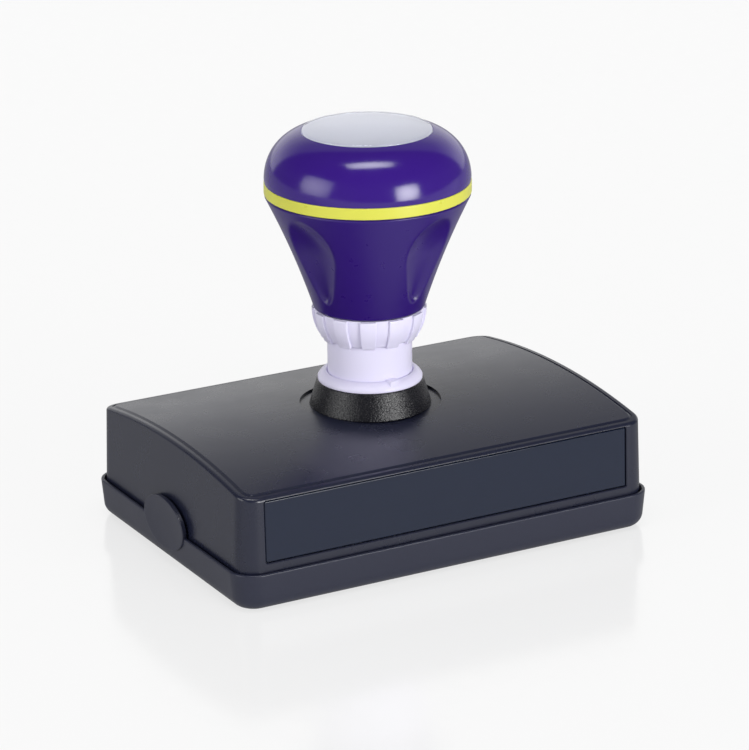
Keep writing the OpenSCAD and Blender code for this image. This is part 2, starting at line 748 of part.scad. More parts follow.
// Die holder: ribbed tray, open downwards, that carries the foam and the die
module holder_ribs() {
    rib_start = stem_foot_r + 2 * holder_rib_t;
    rib_end = holder_size.x / 2 - holder_r;
    translate([0, 0, plate_top_z - eps]) linear_extrude(holder_rib_h) for (s = [-1, 1]) {
        translate([s * (rib_start + rib_end) / 2, 0])
            square([rib_end - rib_start, holder_rib_t], center = true);
        translate([0, s * holder_size.y / 4]) square([2 * rib_end, holder_rib_t], center = true);
    }
}

module die_holder() color(grey) difference() {
    union() {
        translate([0, 0, holder_z]) rounded_box(holder_size, plate_top_z - holder_z, holder_r);
        holder_ribs();
    }
    translate([0, 0, holder_z - cut]) rounded_box(pocket_size, plate_z - holder_z + cut, pocket_r);
    at_holder_screws() translate([0, 0, plate_z - cut])
        cylinder(r = holder_screw_r + fixed_fit, h = holder_plate_t + 2 * cut);
}

module holder_screws() color(steel) at_holder_screws() translate([0, 0, holder_screw_z])
    pan_screw(holder_screw_head_r, holder_screw_head_h, holder_screw_r, holder_screw_l);

module ink_foam() color("#5a2230") translate([0, 0, edge_top_z])
    rounded_box(edge_size, plate_z - edge_top_z, pocket_r);

// Microporous die: printing face through the frame, wider edge clamped behind it
module flash_die() color("#7a3440") {
    translate([0, 0, die_z]) rounded_box(die_size, die_proud + frame_t + eps, pocket_r);
    translate([0, 0, holder_z]) rounded_box(edge_size, die_edge_t, pocket_r);
}

module die_frame() color(grey) translate([0, 0, frame_z]) difference() {
    rounded_box(holder_size, frame_t, holder_r);
    translate([0, 0, -cut]) rounded_box(die_size + 2 * fixed_fit * both, frame_t + 2 * cut, pocket_r);
}

module drag_washer() color(white)
    ring_solid(neck_bore_r, grip_tail_r - fixed_fit, ring_ledge_z, ring_ledge_z + drag_washer_t);

// Side of the depth ring, drawn in by an inset, from its lower edge to its rim
function ring_side(inset) = concat(
    arc([ring_foot_r - ring_round - inset, ring_z + ring_round], ring_round * both, -90, -45, 3),
    bowed([ring_foot_r - inset, ring_z + ring_round + edge_break],
        [ring_top_r - inset, ring_top_z - ring_rim_h], ring_swell)
);

// Ribbed depth ring: bowl-shaped core with a bore for the grip's tail, a ledge and ribs
module depth_ring() color(white) {
    rotate_extrude() polygon(concat(
        [[neck_bore_r, ring_z]],
        ring_side(rib_h),
        [[ring_top_r, ring_top_z - ring_rim_h], [ring_top_r, ring_top_z - edge_break],
         [ring_top_r - edge_break, ring_top_z], [ring_bore_r, ring_top_z], [ring_bore_r, ring_ledge_z],
         [neck_bore_r, ring_ledge_z]]
    ));
    rib_face = ring_side(0);
    rib_root = ring_side(rib_h + edge_break);
    for (i = [0:ribs - 1]) rotate(360 * i / ribs - rib_angle / 2) rotate_extrude(angle = rib_angle)
        polygon(concat(rib_face, [for (k = [len(rib_root) - 1:-1:0]) rib_root[k] + [0, edge_break]]));
}

// Dust cover: tapered tray with a rounded foot, an inner ledge and two thumb tabs
module cover_post() {
    foot_r = cover_corner_r - cover_taper;
    rotate_extrude($fn = blend_fn) polygon(concat(
        [[0, 0]],
        arc([foot_r - cover_round, cover_round], cover_round * both, -90, 0, 5),
        arc([cover_corner_r - cover_rim_round, cover_h - cover_rim_round], cover_rim_round * both, 0, 90, 3),
        [[0, cover_h]]
    ));
}

// Oval thumb tab with a dished face: its root at Z = 0, its height along X
module thumb_tab() {
    tab_r = tab_w / 2;
    tab_t = tab_root + tab_proud;
    face_r = tab_r - 2 * tab_round;
    scale([tab_h / tab_w, 1, 1]) rotate_extrude() polygon(concat(
        [[0, 0], [tab_r, 0]],
        arc([tab_r - tab_round, tab_t - tab_round], tab_round * both, 0, 90, 4),
        [for (i = [0:6]) let (t = 1 - i / 6) [face_r * t, tab_t - tab_dish * (1 - t * t)]]
    ));
}

module dust_cover() color(black) difference() {
    union() {
        hull() at_corners(cover_size, cover_corner_r) cover_post();
        for (turn = [0, 180]) rotate(turn)
            translate([cover_size.x / 2 - tab_root, 0, cover_h + tab_up]) rotate([0, 90, 0]) thumb_tab();
    }
    translate([0, 0, rebate_z])
        rounded_box(body_size + 2 * cover_slot * both, cover_rebate_h + cut, corner_r + cover_slot);
    translate([0, 0, skirt_z]) rounded_box(cover_inner, cover_h - skirt_z + cut, cover_inner_r);
    translate([0, 0, cover_floor])
        rounded_box(cover_inner - 2 * cover_ledge_w * both, cover_h, cover_inner_r - cover_ledge_w);
}

housing();
label_window();
collar();
guide_sleeve();
sleeve_washer();
sleeve_nut();
return_spring();
grip_body();
knob_cap();
accent_band();
knob_lens();
lens_disc();
stem();
stem_screw();
stem_washer();
spring_washer();
die_holder();
holder_screws();
ink_foam();
flash_die();
die_frame();
drag_washer();
depth_ring();
dust_cover();
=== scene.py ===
"""Dresses the packed pre-inked stamp: case, dust cover, fluted knob, clear lens and a studio."""

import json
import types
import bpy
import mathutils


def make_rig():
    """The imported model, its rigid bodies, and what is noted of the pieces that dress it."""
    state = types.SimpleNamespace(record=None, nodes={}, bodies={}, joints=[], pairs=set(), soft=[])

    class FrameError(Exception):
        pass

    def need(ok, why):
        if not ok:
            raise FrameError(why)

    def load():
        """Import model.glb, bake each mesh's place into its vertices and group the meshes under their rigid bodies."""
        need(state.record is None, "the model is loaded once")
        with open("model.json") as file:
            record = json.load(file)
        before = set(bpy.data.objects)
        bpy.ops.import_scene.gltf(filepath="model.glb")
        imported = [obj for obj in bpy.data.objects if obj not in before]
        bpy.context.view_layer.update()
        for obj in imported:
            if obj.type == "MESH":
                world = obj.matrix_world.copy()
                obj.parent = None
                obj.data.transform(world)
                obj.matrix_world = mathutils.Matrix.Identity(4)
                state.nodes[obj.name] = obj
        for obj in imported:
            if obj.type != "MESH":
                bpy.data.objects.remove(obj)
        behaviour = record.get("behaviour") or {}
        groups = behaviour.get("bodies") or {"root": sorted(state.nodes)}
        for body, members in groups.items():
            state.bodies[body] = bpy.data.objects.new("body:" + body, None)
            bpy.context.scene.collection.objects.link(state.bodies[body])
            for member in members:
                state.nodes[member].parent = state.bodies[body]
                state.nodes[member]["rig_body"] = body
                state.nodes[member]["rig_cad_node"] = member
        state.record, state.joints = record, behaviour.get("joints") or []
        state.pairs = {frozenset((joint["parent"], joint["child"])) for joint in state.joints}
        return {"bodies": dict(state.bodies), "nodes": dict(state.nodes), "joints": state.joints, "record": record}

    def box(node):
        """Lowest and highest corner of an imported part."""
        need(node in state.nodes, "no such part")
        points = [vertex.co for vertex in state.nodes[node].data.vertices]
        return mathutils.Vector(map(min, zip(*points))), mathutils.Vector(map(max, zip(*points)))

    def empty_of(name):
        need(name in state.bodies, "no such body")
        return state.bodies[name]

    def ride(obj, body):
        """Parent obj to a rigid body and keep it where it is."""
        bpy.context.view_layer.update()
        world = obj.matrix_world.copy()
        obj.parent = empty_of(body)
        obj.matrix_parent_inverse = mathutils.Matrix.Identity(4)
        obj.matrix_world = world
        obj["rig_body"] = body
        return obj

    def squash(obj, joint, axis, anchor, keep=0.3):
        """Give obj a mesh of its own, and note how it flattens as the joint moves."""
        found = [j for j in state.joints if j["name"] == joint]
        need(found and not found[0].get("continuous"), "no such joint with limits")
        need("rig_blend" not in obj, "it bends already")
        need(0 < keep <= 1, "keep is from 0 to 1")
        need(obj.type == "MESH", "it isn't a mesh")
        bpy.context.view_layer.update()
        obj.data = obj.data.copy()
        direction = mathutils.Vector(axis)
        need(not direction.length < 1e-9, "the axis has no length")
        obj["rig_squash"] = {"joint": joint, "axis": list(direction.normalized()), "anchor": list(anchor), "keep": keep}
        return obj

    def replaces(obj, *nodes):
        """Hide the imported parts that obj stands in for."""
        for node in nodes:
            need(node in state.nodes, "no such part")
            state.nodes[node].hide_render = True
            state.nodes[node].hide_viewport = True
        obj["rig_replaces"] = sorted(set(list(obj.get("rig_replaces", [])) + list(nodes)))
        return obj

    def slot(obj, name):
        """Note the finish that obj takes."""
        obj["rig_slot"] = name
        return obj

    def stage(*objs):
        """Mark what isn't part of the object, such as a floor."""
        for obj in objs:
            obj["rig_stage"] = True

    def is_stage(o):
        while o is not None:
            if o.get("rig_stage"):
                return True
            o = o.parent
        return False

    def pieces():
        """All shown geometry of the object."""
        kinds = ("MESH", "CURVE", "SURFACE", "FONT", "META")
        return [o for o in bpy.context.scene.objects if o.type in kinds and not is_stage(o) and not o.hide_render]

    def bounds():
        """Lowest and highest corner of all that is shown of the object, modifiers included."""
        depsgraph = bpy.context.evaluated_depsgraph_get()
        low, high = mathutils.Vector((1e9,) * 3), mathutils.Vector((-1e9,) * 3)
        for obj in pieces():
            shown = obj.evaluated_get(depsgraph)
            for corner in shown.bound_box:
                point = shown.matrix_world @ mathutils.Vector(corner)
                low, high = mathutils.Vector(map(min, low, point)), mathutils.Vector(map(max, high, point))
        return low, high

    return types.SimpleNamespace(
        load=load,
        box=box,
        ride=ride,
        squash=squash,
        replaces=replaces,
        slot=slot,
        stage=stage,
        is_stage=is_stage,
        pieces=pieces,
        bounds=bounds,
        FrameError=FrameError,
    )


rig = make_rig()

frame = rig.load()
cad_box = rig.bounds()

import json
import math
from functools import lru_cache

import bmesh
import bpy
from bpy.props import FloatProperty, FloatVectorProperty, IntProperty, PointerProperty
from bpy.types import Operator, Panel, PropertyGroup
from mathutils import Matrix, Vector

bl_info = {
    "name": "Pre-inked stamp",
    "version": (1, 0, 0),
    "blender": (4, 5, 0),
    "location": "3D View > Sidebar > Stamp",
    "description": "Models and finishes the visible pieces of a pre-inked stamp on its frame",
    "category": "Object",
}

MM = 0.001
UP, DOWN, RIGHT = Vector((0, 0, 1)), Vector((0, 0, -1)), Vector((1, 0, 0))

# Fineness of the shapes. The vault has an odd number of strips, so none ends on its middle line.
TURN_STEPS, RING_STEPS, GRIP_STEPS, TAB_STEPS = 160, 360, 320, 112
CORNER_STEPS, COIL_STEPS, WIRE_STEPS = 10, 24, 12
VAULT_STRIPS, GRIP_ROWS, DOME_ROWS, LENS_ROWS, TAB_ROWS, BOW_ROWS = 27, 112, 48, 24, 8, 10
RIBS, FLUTES = 12, 4

# Least share of a direction that counts as level or upright, distance that merges doubles, reach of
# a cutter beyond what it cuts, and lap or gap where two surfaces touch
FLAT = 0.9
WELD = 0.002 * MM
OVER = MM
CONTACT = 0.02 * MM

# Faces that the ribs are drawn from: least outward and greatest upward share of their normal, and
# least angle of the edges that are then eased
RIB_OUT, RIB_UP, RIB_EDGE = 0.2, 0.5, math.radians(50)

# Sizes that suit the frame's other parts: clearance of parts fixed together, break of small
# edges, and walls and ledges of the case and of the cover
FIT = 0.05 * MM
EDGE_BREAK = 0.1 * MM
ROOF, SKIRT_STEP, SKIRT_WALL, BOSS = 2.4 * MM, 0.85 * MM, 1.3 * MM, 11.5 * MM
COVER_REBATE, COVER_WALL, COVER_FLOOR, COVER_LEDGE = 1.4 * MM, 1.8 * MM, 1.6 * MM, 1.0 * MM

# Radii of the sleeve's tail, bore and chamber, and bores and ledge of the parts that slide on it
TAIL, SLEEVE_BORE, CHAMBER = 7.0 * MM, 5.06 * MM, 8.0 * MM
NECK_BORE, RING_SOCKET, RING_LEDGE = 9.45 * MM, 10.41 * MM, 2.3 * MM

# Radii inside the knob, and thickness of the cap under the disc
GRIP_TAIL, WEB_BORE, WEB_HOLLOW = 10.35 * MM, 3.55 * MM, 12.5 * MM
CAP_TUBE, CAP_BORE, LENS_SEAT = 19.0 * MM, 17.0 * MM, 1.6 * MM

# Search for the flutes' skin: greatest depth, halvings, and share of a step that crosses the side
FLUTE_DEEPEST, FLUTE_HALVINGS, SIDE_SHARE = 6 * MM, 26, 0.93

# What finishes share: a pattern's middle values, refraction of ABS, size in mm and detail of
# the clouds in a matt gloss, orange peel of a polished tool, waxy skin of acetal, pores of foam
MIDDLE = {"From Min": 0.3, "From Max": 0.7}
ABS = {"IOR": 1.54}
MATT_CLOUD = (9, 4.0)
PEEL = dict(size=2.4, height=0.003, cloud=(3, 5.0))
WAX = dict(size=0.7, height=0.004, gloss=(0.28, 0.36), sockets={
    "IOR": 1.48, "Subsurface Weight": 0.06, "Subsurface Scale": 0.5 * MM,
    "Subsurface Radius": (1.0, 0.9, 1.0)})
PORES = dict(kind="TexVoronoi", detail=0.0, gloss=(0.55, 0.8), sockets={"IOR": 1.4})

# Soft boxes where the cap's highlights show them: azimuth from behind the stamp to its right and
# elevation in degrees, width and height in millimetres, brightness
SOFT_BOXES = {
    "overhead": (-160, 79, 880, 400, 6.5),
    "left": (-91, 15, 950, 900, 2.4),
    "right": (164.5, 5.5, 670, 800, 8.6),
}

# Camera's sensor in millimetres and far limit, the sweep's rise, the elevations between which it
# fades, the floor's size, and where the painted shade on the floor, as reflections show it, changes,
# as shares of the way from the stamp's middle to its front
SENSOR, CLIP_END = 36.0, 50.0
SWEEP_RISE, FADE_FROM, FADE_TO = 0.2, math.radians(14), math.radians(38)
FLOOR_SIZE, FRONT_FROM, FRONT_TO = 6.0, 1.6, 0.4


def linear(hex_colour):
    """Linear RGBA of an sRGB hex colour."""
    shares = [int(hex_colour[k:k + 2], 16) / 255 for k in (1, 3, 5)]
    return [s / 12.92 if s <= 0.04045 else ((s + 0.055) / 1.055) ** 2.4 for s in shares] + [1.0]


WHITE = linear("#FFFFFF")


def length(label, millimetres, text):
    """A size for the panel, written in millimetres and kept in metres."""
    return FloatProperty(name=label, description=text, default=millimetres * MM, min=0.0,
                         unit="LENGTH", precision=5)


def turn(label, degrees, text):
    """An angle for the panel, written in degrees."""
    return FloatProperty(name=label, description=text, default=math.radians(degrees),
                         subtype="ANGLE")


def paint(label, hex_colour, text):
    """A colour for the panel, written as an sRGB hex value."""
    return FloatVectorProperty(name=label, description=text, default=linear(hex_colour), size=4,
                               subtype="COLOR", min=0.0, max=1.0)


def level(label, value, text):
    """A brightness or a share for the panel."""
    return FloatProperty(name=label, description=text, default=value, min=0.0)


class StampCase(PropertyGroup):
    """Sizes of the housing, its label window and the dust cover"""
    corner: length("Corner", 4.5, "Radius of the housing's upright corners")
    shoulder: length("Shoulder", 7.3, "Height of the housing's lower edge")
    edge_round: length("Edge round", 0.3, "Radius of the housing's lower edge")
    draft: length("Draft", 0.5, "Inward lean of the sides over their height")
    side: length("Side", 17.3, "Height of the sides at the long edges")
    rim_round: length("Rim round", 0.7, "Radius of the rounded rim")
    land: length("Land", 0.6, "Flat between the rim and the groove")
    panel_step: length("Panel step", 0.15, "Height of the top panel above its border")
    groove: length("Groove", 0.75, "Width of the groove round the panel")
    groove_slope: length("Groove slope", 0.45, "Width of the groove's slope up to the panel")
    groove_depth: length("Groove depth", 0.28, "Depth of the groove below the panel")
    seat_margin: length("Seat margin", 2.1, "Width of the sunk seat outside the collar")
    seat_cut: length("Seat depth", 0.5, "Depth of the sunk seat below the vault")
    window_below: length("Window margin", 2.9, "Margin of the recess above the lower edge")
    window_gap: length("Window gap", 0.3, "Gap round the window plate")
    window_depth: length("Window depth", 1.0, "Depth of the window's recess")
    window_edge: length("Window edge", 0.18, "Chamfer of the recess")
    window_corner: length("Window corner", 0.6, "Corner radius of the recess")
    plate_thick: length("Plate thickness", 0.75, "Thickness of the window plate")
    plate_edge: length("Plate edge", 0.28, "Radius of the window plate's edge")
    cover_step: length("Cover step", 1.2, "How far the cover stands out beyond the housing")
    cover_height: length("Cover height", 8.4, "Height of the cover's rim")
    cover_slot: length("Cover slot", 0.5, "Gap between the rim and the housing")
    cover_foot: length("Cover foot", 3.0, "Radius of the cover's lower edge")
    cover_rim: length("Cover rim", 0.25, "Radius of the cover's rim")
    cover_taper: length("Cover taper", 0.45, "Inward lean of the cover's wall")
    tab_width: length("Tab width", 18.9, "Width of an oval thumb tab")
    tab_height: length("Tab height", 11.3, "Height of a thumb tab")
    tab_up: length("Tab rise", 0.55, "Height of a thumb tab's middle above the rim")
    tab_thick: length("Tab thickness", 0.9, "Thickness of a thumb tab")
    tab_round: length("Tab round", 0.2, "Radius of a thumb tab's edge")
    tab_dish: length("Tab dish", 0.25, "Dish of a thumb tab's face")


class StampStem(PropertyGroup):
    """Sizes of the collar, the guide sleeve, the depth ring and the return spring"""
    collar_top: length("Collar top", 11.6, "Radius of the collar's top edge")
    collar_lip: length("Collar lip", 0.3, "Height of the collar's widest place above its foot")
    collar_under: length("Collar undercut", 0.4, "Undercut of the collar below its widest place")
    collar_round: length("Collar round", 0.3, "Radius of the collar's top edge in section")
    neck: length("Neck", 9.2, "Radius of the neck")
    neck_groove: length("Neck groove", 0.35, "Groove at the neck's foot and break at its top")
    flange_rim: length("Flange rim", 0.6, "Height of the flange's upright rim")
    flange_ease: length("Flange ease", 0.15, "Radius of the flange's edge and the neck's bore")
    flange: length("Flange", 2.0, "Height of the domed flange")
    flange_swell: length("Flange swell", 0.3, "Swell of the flange's dome")
    key_width: length("Key width", 2.3, "Width of the keyway and of the block below it")
    key_depth: length("Key depth", 0.3, "Depth of the keyway")
    key_block: length("Key block", 1.9, "Thickness of the block below the keyway")
    key_round: length("Key round", 0.25, "Radius of the block's edges")
    ring_foot: length("Ring foot", 10.7, "Radius over the ribs at the ring's foot")
    ring_round: length("Ring round", 0.5, "Radius of the ring's lower edge")
    ring_swell: length("Ring swell", 0.45, "Swell of the ring's side")
    rib_height: length("Rib height", 0.55, "Height of the ring's ribs")
    rib_round: length("Rib round", 0.1, "Radius of the ribs' edges")
    rib_angle: turn("Rib width", 15.5, "Width of a rib, as an angle")
    wire: length("Spring wire", 1.2, "Diameter of the return spring's wire")
    wire_gap: length("Spring gap", 0.5, "Gap beside the nearly closed turn at each end")
    coils: IntProperty(name="Spring turns", description="Turns of the spring", default=8, min=4)


class StampKnob(PropertyGroup):
    """Sizes of the grip, the cap, the band and the lens"""
    gap: length("Ring gap", 0.25, "Gap between the depth ring and the grip")
    foot: length("Grip foot", 12.1, "Radius of the grip's foot")
    foot_round: length("Foot round", 0.3, "Radius of the grip's lower edge")
    foot_lean: turn("Foot lean", 20, "Lean of the side where the lower edge runs into it")
    top_in: length("Top inset", 0.15, "How far the grip's upper edge lies inside the band")
    top_round: length("Top round", 0.5, "Radius of the grip's upper edge")
    hollow: length("Hollow", 0.5, "Inward bow of the grip's side")
    flute_turn: turn("Flute place", 18, "Angle of the first flute")
    flute_foot_up: length("Flute foot", 4.6, "Height of the flute's foot above the grip's foot")
    flute_foot_depth: length("Flute foot depth", 0.9, "Depth of the flute at its foot")
    flute_foot: length("Flute foot radius", 1.6, "Radius of the flute at its foot")
    flute_head_up: length("Flute head", 14.2, "Height of the flute's head above the grip's foot")
    flute_head_depth: length("Flute head depth", 1.9, "Depth of the flute at its head")
    flute_head: length("Flute head radius", 18.0, "Radius of the flute at its head")
    flute_edge: length("Flute edge", 0.3, "Blend of the flutes' edges")
    dome_in: length("Dome width", 13.2, "Width of the cap's domed shoulder")
    fullness: FloatProperty(name="Fullness", default=2.25, min=1.5, max=3.0,
                            description="2 makes the dome elliptic, more makes it squarer")
    edge: length("Eased edge", 0.2, "Radius of the eased edges beside the band")
    lens_rise: length("Lens rise", 0.75, "Rise of the lens from its edge")
    lens_edge: length("Lens edge", 0.55, "Radius of the lens's upper edge")


class StampFinish(PropertyGroup):
    """Colours of the stamp's materials"""
    housing: paint("Housing", "#1C1F31", "Black of the housing")
    cover: paint("Cover", "#212437", "Black of the dust cover")
    collar: paint("Collar", "#101017", "Black of the collar")
    window: paint("Window", "#171F32", "Smoked sheet of the label window")
    knob: paint("Knob", "#331777", "Purple of the cap")
    grip: paint("Grip", "#2C126B", "Purple of the grip")
    band: paint("Band", "#CFCF4A", "Yellow of the band")
    sleeve: paint("Sleeve", "#E6E2FA", "Lavender white of the sleeve and the depth ring")
    lens: paint("Lens", "#F4F6FA", "Tint of the clear lens")
    disc: paint("Disc", "#D8D9E2", "Blank disc under the lens")
    stem: paint("Stem", "#232328", "Black of the stem")
    holder: paint("Holder", "#3B3C42", "Grey of the die holder")
    zinc: paint("Zinc", "#B9BCC0", "Zinc plate of the screws, washers and spring")
    foam: paint("Ink foam", "#5A2230", "Inked foam")
    die: paint("Die", "#7A3440", "Inked printing face")


class StampStudio(PropertyGroup):
    """Camera, lights and surroundings"""
    camera_turn: turn("Camera turn", 28.67, "Angle of the camera from the front to the left")
    camera_rise: turn("Camera rise", 18.05, "Angle of the camera above the floor")
    camera_far: length("Camera distance", 783.4, "Distance of the camera from the stamp's middle")
    camera_aim: length("Camera aim", 47.7, "Height that the camera is set out from")
    camera_pan: turn("Camera pan", 0.07, "Turn of the camera to the right")
    camera_tilt: turn("Camera tilt", -1.0, "Tilt of the camera")
    camera_roll: turn("Camera roll", -0.72, "Roll of the camera")
    focal: length("Focal length", 174.02, "Focal length on the camera's sensor")
    box_far: length("Box distance", 1400, "Distance of the soft boxes from the stamp")
    box_falloff: level("Box falloff", 1.0, "How much dimmer a soft box is towards its corners")
    sweep_turn: turn("Sweep", 47, "Half width of the white sweep behind, as reflections show it")
    sweep_soft: turn("Sweep edge", 5, "Softness of the sweep's edge")
    sweep_fade: level("Sweep fading", 0.7, "How much dimmer the sweep is high up")
    room_level: level("Room level", 0.1, "Brightness of the dim room in front, in reflections")
    fill_level: level("Fill level", 0.42, "Brightness of the even light from all sides")
    floor_glow: level("Floor glow", 0.84, "Share of plain white in the floor, over its shadows")
    floor_front: length("Floor in front", 500, "How far the floor reaches in front of the stamp")
    # Painted shade on the floor as reflections show it: its glow is darkened there, less so in front
    floor_dim: level("Floor dimming", 0.65, "How much darker reflections show the floor")
    front_dim: level("Front dimming", 0.4, "How much darker reflections show the floor in front")


def leave_edit():
    """Goes back to object mode."""
    if bpy.context.object and bpy.context.object.mode == "EDIT":
        bpy.ops.object.mode_set(mode="OBJECT")


def begin(name, primitive, **settings):
    """Adds a primitive at its size and place as a new piece, and opens it in edit mode."""
    leave_edit()
    bpy.ops.object.select_all(action="DESELECT")
    primitive(**settings)
    piece = bpy.context.object
    piece.name = piece.data.name = name
    bpy.ops.object.transform_apply()
    bpy.ops.object.mode_set(mode="EDIT")
    bpy.ops.mesh.select_mode(type="VERT")
    bpy.ops.mesh.select_all(action="SELECT")
    return piece


def block(name, low, high):
    """Adds a block between two corners, open in edit mode."""
    low, high = Vector(low), Vector(high)
    return begin(name, bpy.ops.mesh.primitive_cube_add, size=1, location=(low + high) / 2,
                 scale=high - low)


def rod(name, radius, low, high):
    """Adds an upright cylinder on the stem's axis between two heights, open in edit mode."""
    return begin(name, bpy.ops.mesh.primitive_cylinder_add, vertices=TURN_STEPS, radius=radius,
                 depth=high - low, location=(0, 0, (low + high) / 2))


def turned(name, outline, closed=True, steps=TURN_STEPS):
    """Turns an outline of (radius, height) points round the Z axis, open in edit mode."""
    piece = begin(name, bpy.ops.mesh.primitive_plane_add, size=MM)
    bpy.ops.mesh.merge(type="CENTER")
    points = [Vector((radius, 0, height)) for radius, height in outline]
    bpy.ops.transform.translate(value=points[0])
    for here, there in zip(points, points[1:] + points[:1] * closed):
        bpy.ops.mesh.extrude_vertices_move(TRANSFORM_OT_translate={"value": there - here})
    bpy.ops.mesh.select_all(action="SELECT")
    bpy.ops.mesh.spin(steps=steps, angle=math.tau, center=(0, 0, 0), axis=(0, 0, 1))
    bpy.ops.mesh.select_all(action="SELECT")
    bpy.ops.mesh.remove_doubles(threshold=WELD)
    bpy.ops.mesh.normals_make_consistent(inside=False)
    return piece


def pick(piece, kind, test):
    """Selects the edges or faces of a piece in edit mode that pass a test."""
    bpy.ops.mesh.select_mode(type=kind)
    bpy.ops.mesh.select_all(action="DESELECT")
    mesh = bmesh.from_edit_mesh(piece.data)
    mesh.normal_update()
    for part in {"EDGE": mesh.edges, "FACE": mesh.faces}[kind]:
        if test(part):
            part.select_set(True)
    bmesh.update_edit_mesh(piece.data)


def pick_facing(piece, way):
    """Selects the faces of a piece in edit mode that look one way."""
    pick(piece, "FACE", lambda face: face.normal.dot(way) > FLAT)


def step(inward, onward):
    """Insets the selected face and carries it on along its normal: a line of a moulded profile."""
    bpy.ops.mesh.inset(thickness=inward, depth=onward, use_even_offset=True)


def draw(distance):
    """Draws the selected face straight up or down."""
    bpy.ops.mesh.extrude_region_move(TRANSFORM_OT_translate={"value": (0, 0, distance)})


def round_over(radius, steps=5):
    """Rounds the edge of the selected face by insets along a quarter circle."""
    angles = [math.pi / 2 * k / steps for k in range(steps + 1)]
    for a, b in zip(angles, angles[1:]):
        step(radius * (math.cos(a) - math.cos(b)), radius * (math.sin(b) - math.sin(a)))


def round_uprights(piece, radius, steps=CORNER_STEPS):
    """Rounds the upright edges of a block."""
    def upright(edge):
        return abs((edge.verts[0].co - edge.verts[1].co).normalized().z) > FLAT

    pick(piece, "EDGE", upright)
    bpy.ops.mesh.bevel(offset=radius, segments=steps, affect="EDGES")


def arc(middle, radius, first, last, steps):
    """Points on an arc between two angles in degrees."""
    angles = [math.radians(first + (last - first) * k / steps) for k in range(steps + 1)]
    return [(middle[0] + radius * math.cos(a), middle[1] + radius * math.sin(a)) for a in angles]


def bowed(first, last, swell, steps):
    """Points on a shallow bow between two points, swelled to the right of the way."""
    way = Vector(last) - Vector(first)
    side = Vector((way.y, -way.x)).normalized()
    shares = [k / steps for k in range(steps + 1)]
    return [tuple(Vector(first) + t * way + 4 * swell * t * (1 - t) * side) for t in shares]


def dome(foot, width, edge, fullness, steps):
    """Points on a dome that is fuller than an ellipse, up from its foot and in to its edge."""
    power = 2 / fullness
    last = math.acos(((edge[0] - foot[0] + width) / width) ** (1 / power))
    tall = (edge[1] - foot[1]) / math.sin(last) ** power
    angles = [last * k / steps for k in range(steps + 1)]
    return [(foot[0] + width * (math.cos(a) ** power - 1), foot[1] + tall * math.sin(a) ** power)
            for a in angles]


def eased(corners, steps=4):
    """Outline through (radius, height, fillet) corners, each rounded by its fillet."""
    outline = []
    for k, (radius, height, fillet) in enumerate(corners):
        corner = Vector((radius, height))
        if not fillet:
            outline.append(tuple(corner))
            continue
        back = (Vector(corners[k - 1][:2]) - corner).normalized()
        on = (Vector(corners[(k + 1) % len(corners)][:2]) - corner).normalized()
        half = back.angle(on) / 2
        middle = corner + (back + on).normalized() * fillet / math.sin(half)
        first, last = (corner + way * fillet / math.tan(half) - middle for way in (back, on))
        start, end = (math.atan2(spoke.y, spoke.x) for spoke in (first, last))
        sweep = math.degrees((end - start + math.pi) % math.tau - math.pi)
        start = math.degrees(start)
        outline += arc(middle, fillet, start, start + sweep, steps)
    return outline


def off_nearest(angle, count):
    """Angle from the nearest of a number of even places round a turn."""
    pitch = math.tau / count
    return (angle + pitch / 2) % pitch - pitch / 2


def choose(piece):
    """Leaves edit mode, and makes a piece the only one selected and the active one."""
    leave_edit()
    bpy.ops.object.select_all(action="DESELECT")
    piece.select_set(True)
    bpy.context.view_layer.objects.active = piece


def modify(piece, kind, **settings):
    """Adds a modifier to a piece and applies it."""
    choose(piece)
    bpy.ops.object.modifier_add(type=kind)
    modifier = piece.modifiers[-1]
    for name, value in settings.items():
        setattr(modifier, name, value)
    bpy.ops.object.modifier_apply(modifier=modifier.name)


def combine(piece, tool, operation):
    """Cuts a tool out of a piece or joins it on, and deletes the tool."""
    modify(piece, "BOOLEAN", object=tool, operation=operation, solver="EXACT")
    if not piece.data.polygons:
        raise RuntimeError(f"{piece.name} is empty after the cut with {tool.name}")
    choose(tool)
    bpy.ops.object.delete()
    choose(piece)


def vault_drop(case):
    """Gives a function for the vault's drop below its crown at a distance from its middle line."""
    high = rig.box("housing")[1]
    half, rise = high.y - case.draft, high.z - case.shoulder - case.side
    radius = (half * half + rise * rise) / (2 * rise)
    return lambda across: radius - math.sqrt(radius * radius - across * across)


def bend_to_vault(piece, case, above):
    """Bends what a piece in edit mode has above a height along the vault, strip by strip."""
    mesh = bmesh.from_edit_mesh(piece.data)
    reach = max(vert.co.y for vert in mesh.verts)
    for k in range(1, VAULT_STRIPS):
        bpy.ops.mesh.select_all(action="SELECT")
        across = reach * (2 * k / VAULT_STRIPS - 1)
        bpy.ops.mesh.bisect(plane_co=(0, across, 0), plane_no=(0, 1, 0))
    mesh = bmesh.from_edit_mesh(piece.data)
    drop = vault_drop(case)
    for vert in mesh.verts:
        if vert.co.z > above:
            vert.co.z -= drop(vert.co.y)
    bmesh.update_edit_mesh(piece.data)


def lean_on_front(piece, case):
    """Sets a piece that was modelled flat against the housing's drafted front face."""
    choose(piece)
    piece.rotation_euler.x = math.pi / 2 - math.atan2(case.draft, case.side)
    piece.location = (0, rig.box("housing")[0].y, case.shoulder)
    bpy.ops.object.transform_apply()


def add(tree, kind, inputs=(), **settings):
    """Adds a shader node, sets it, and sets or links its inputs, a node by its first output."""
    node = tree.nodes.new("ShaderNode" + kind)
    for name, value in settings.items():
        setattr(node, name, value)
    for name, value in dict(inputs).items():
        if isinstance(value, bpy.types.Node):
            value = value.outputs[0]
        if isinstance(value, bpy.types.NodeSocket):
            tree.links.new(value, node.inputs[name])
        else:
            node.inputs[name].default_value = value
    return node


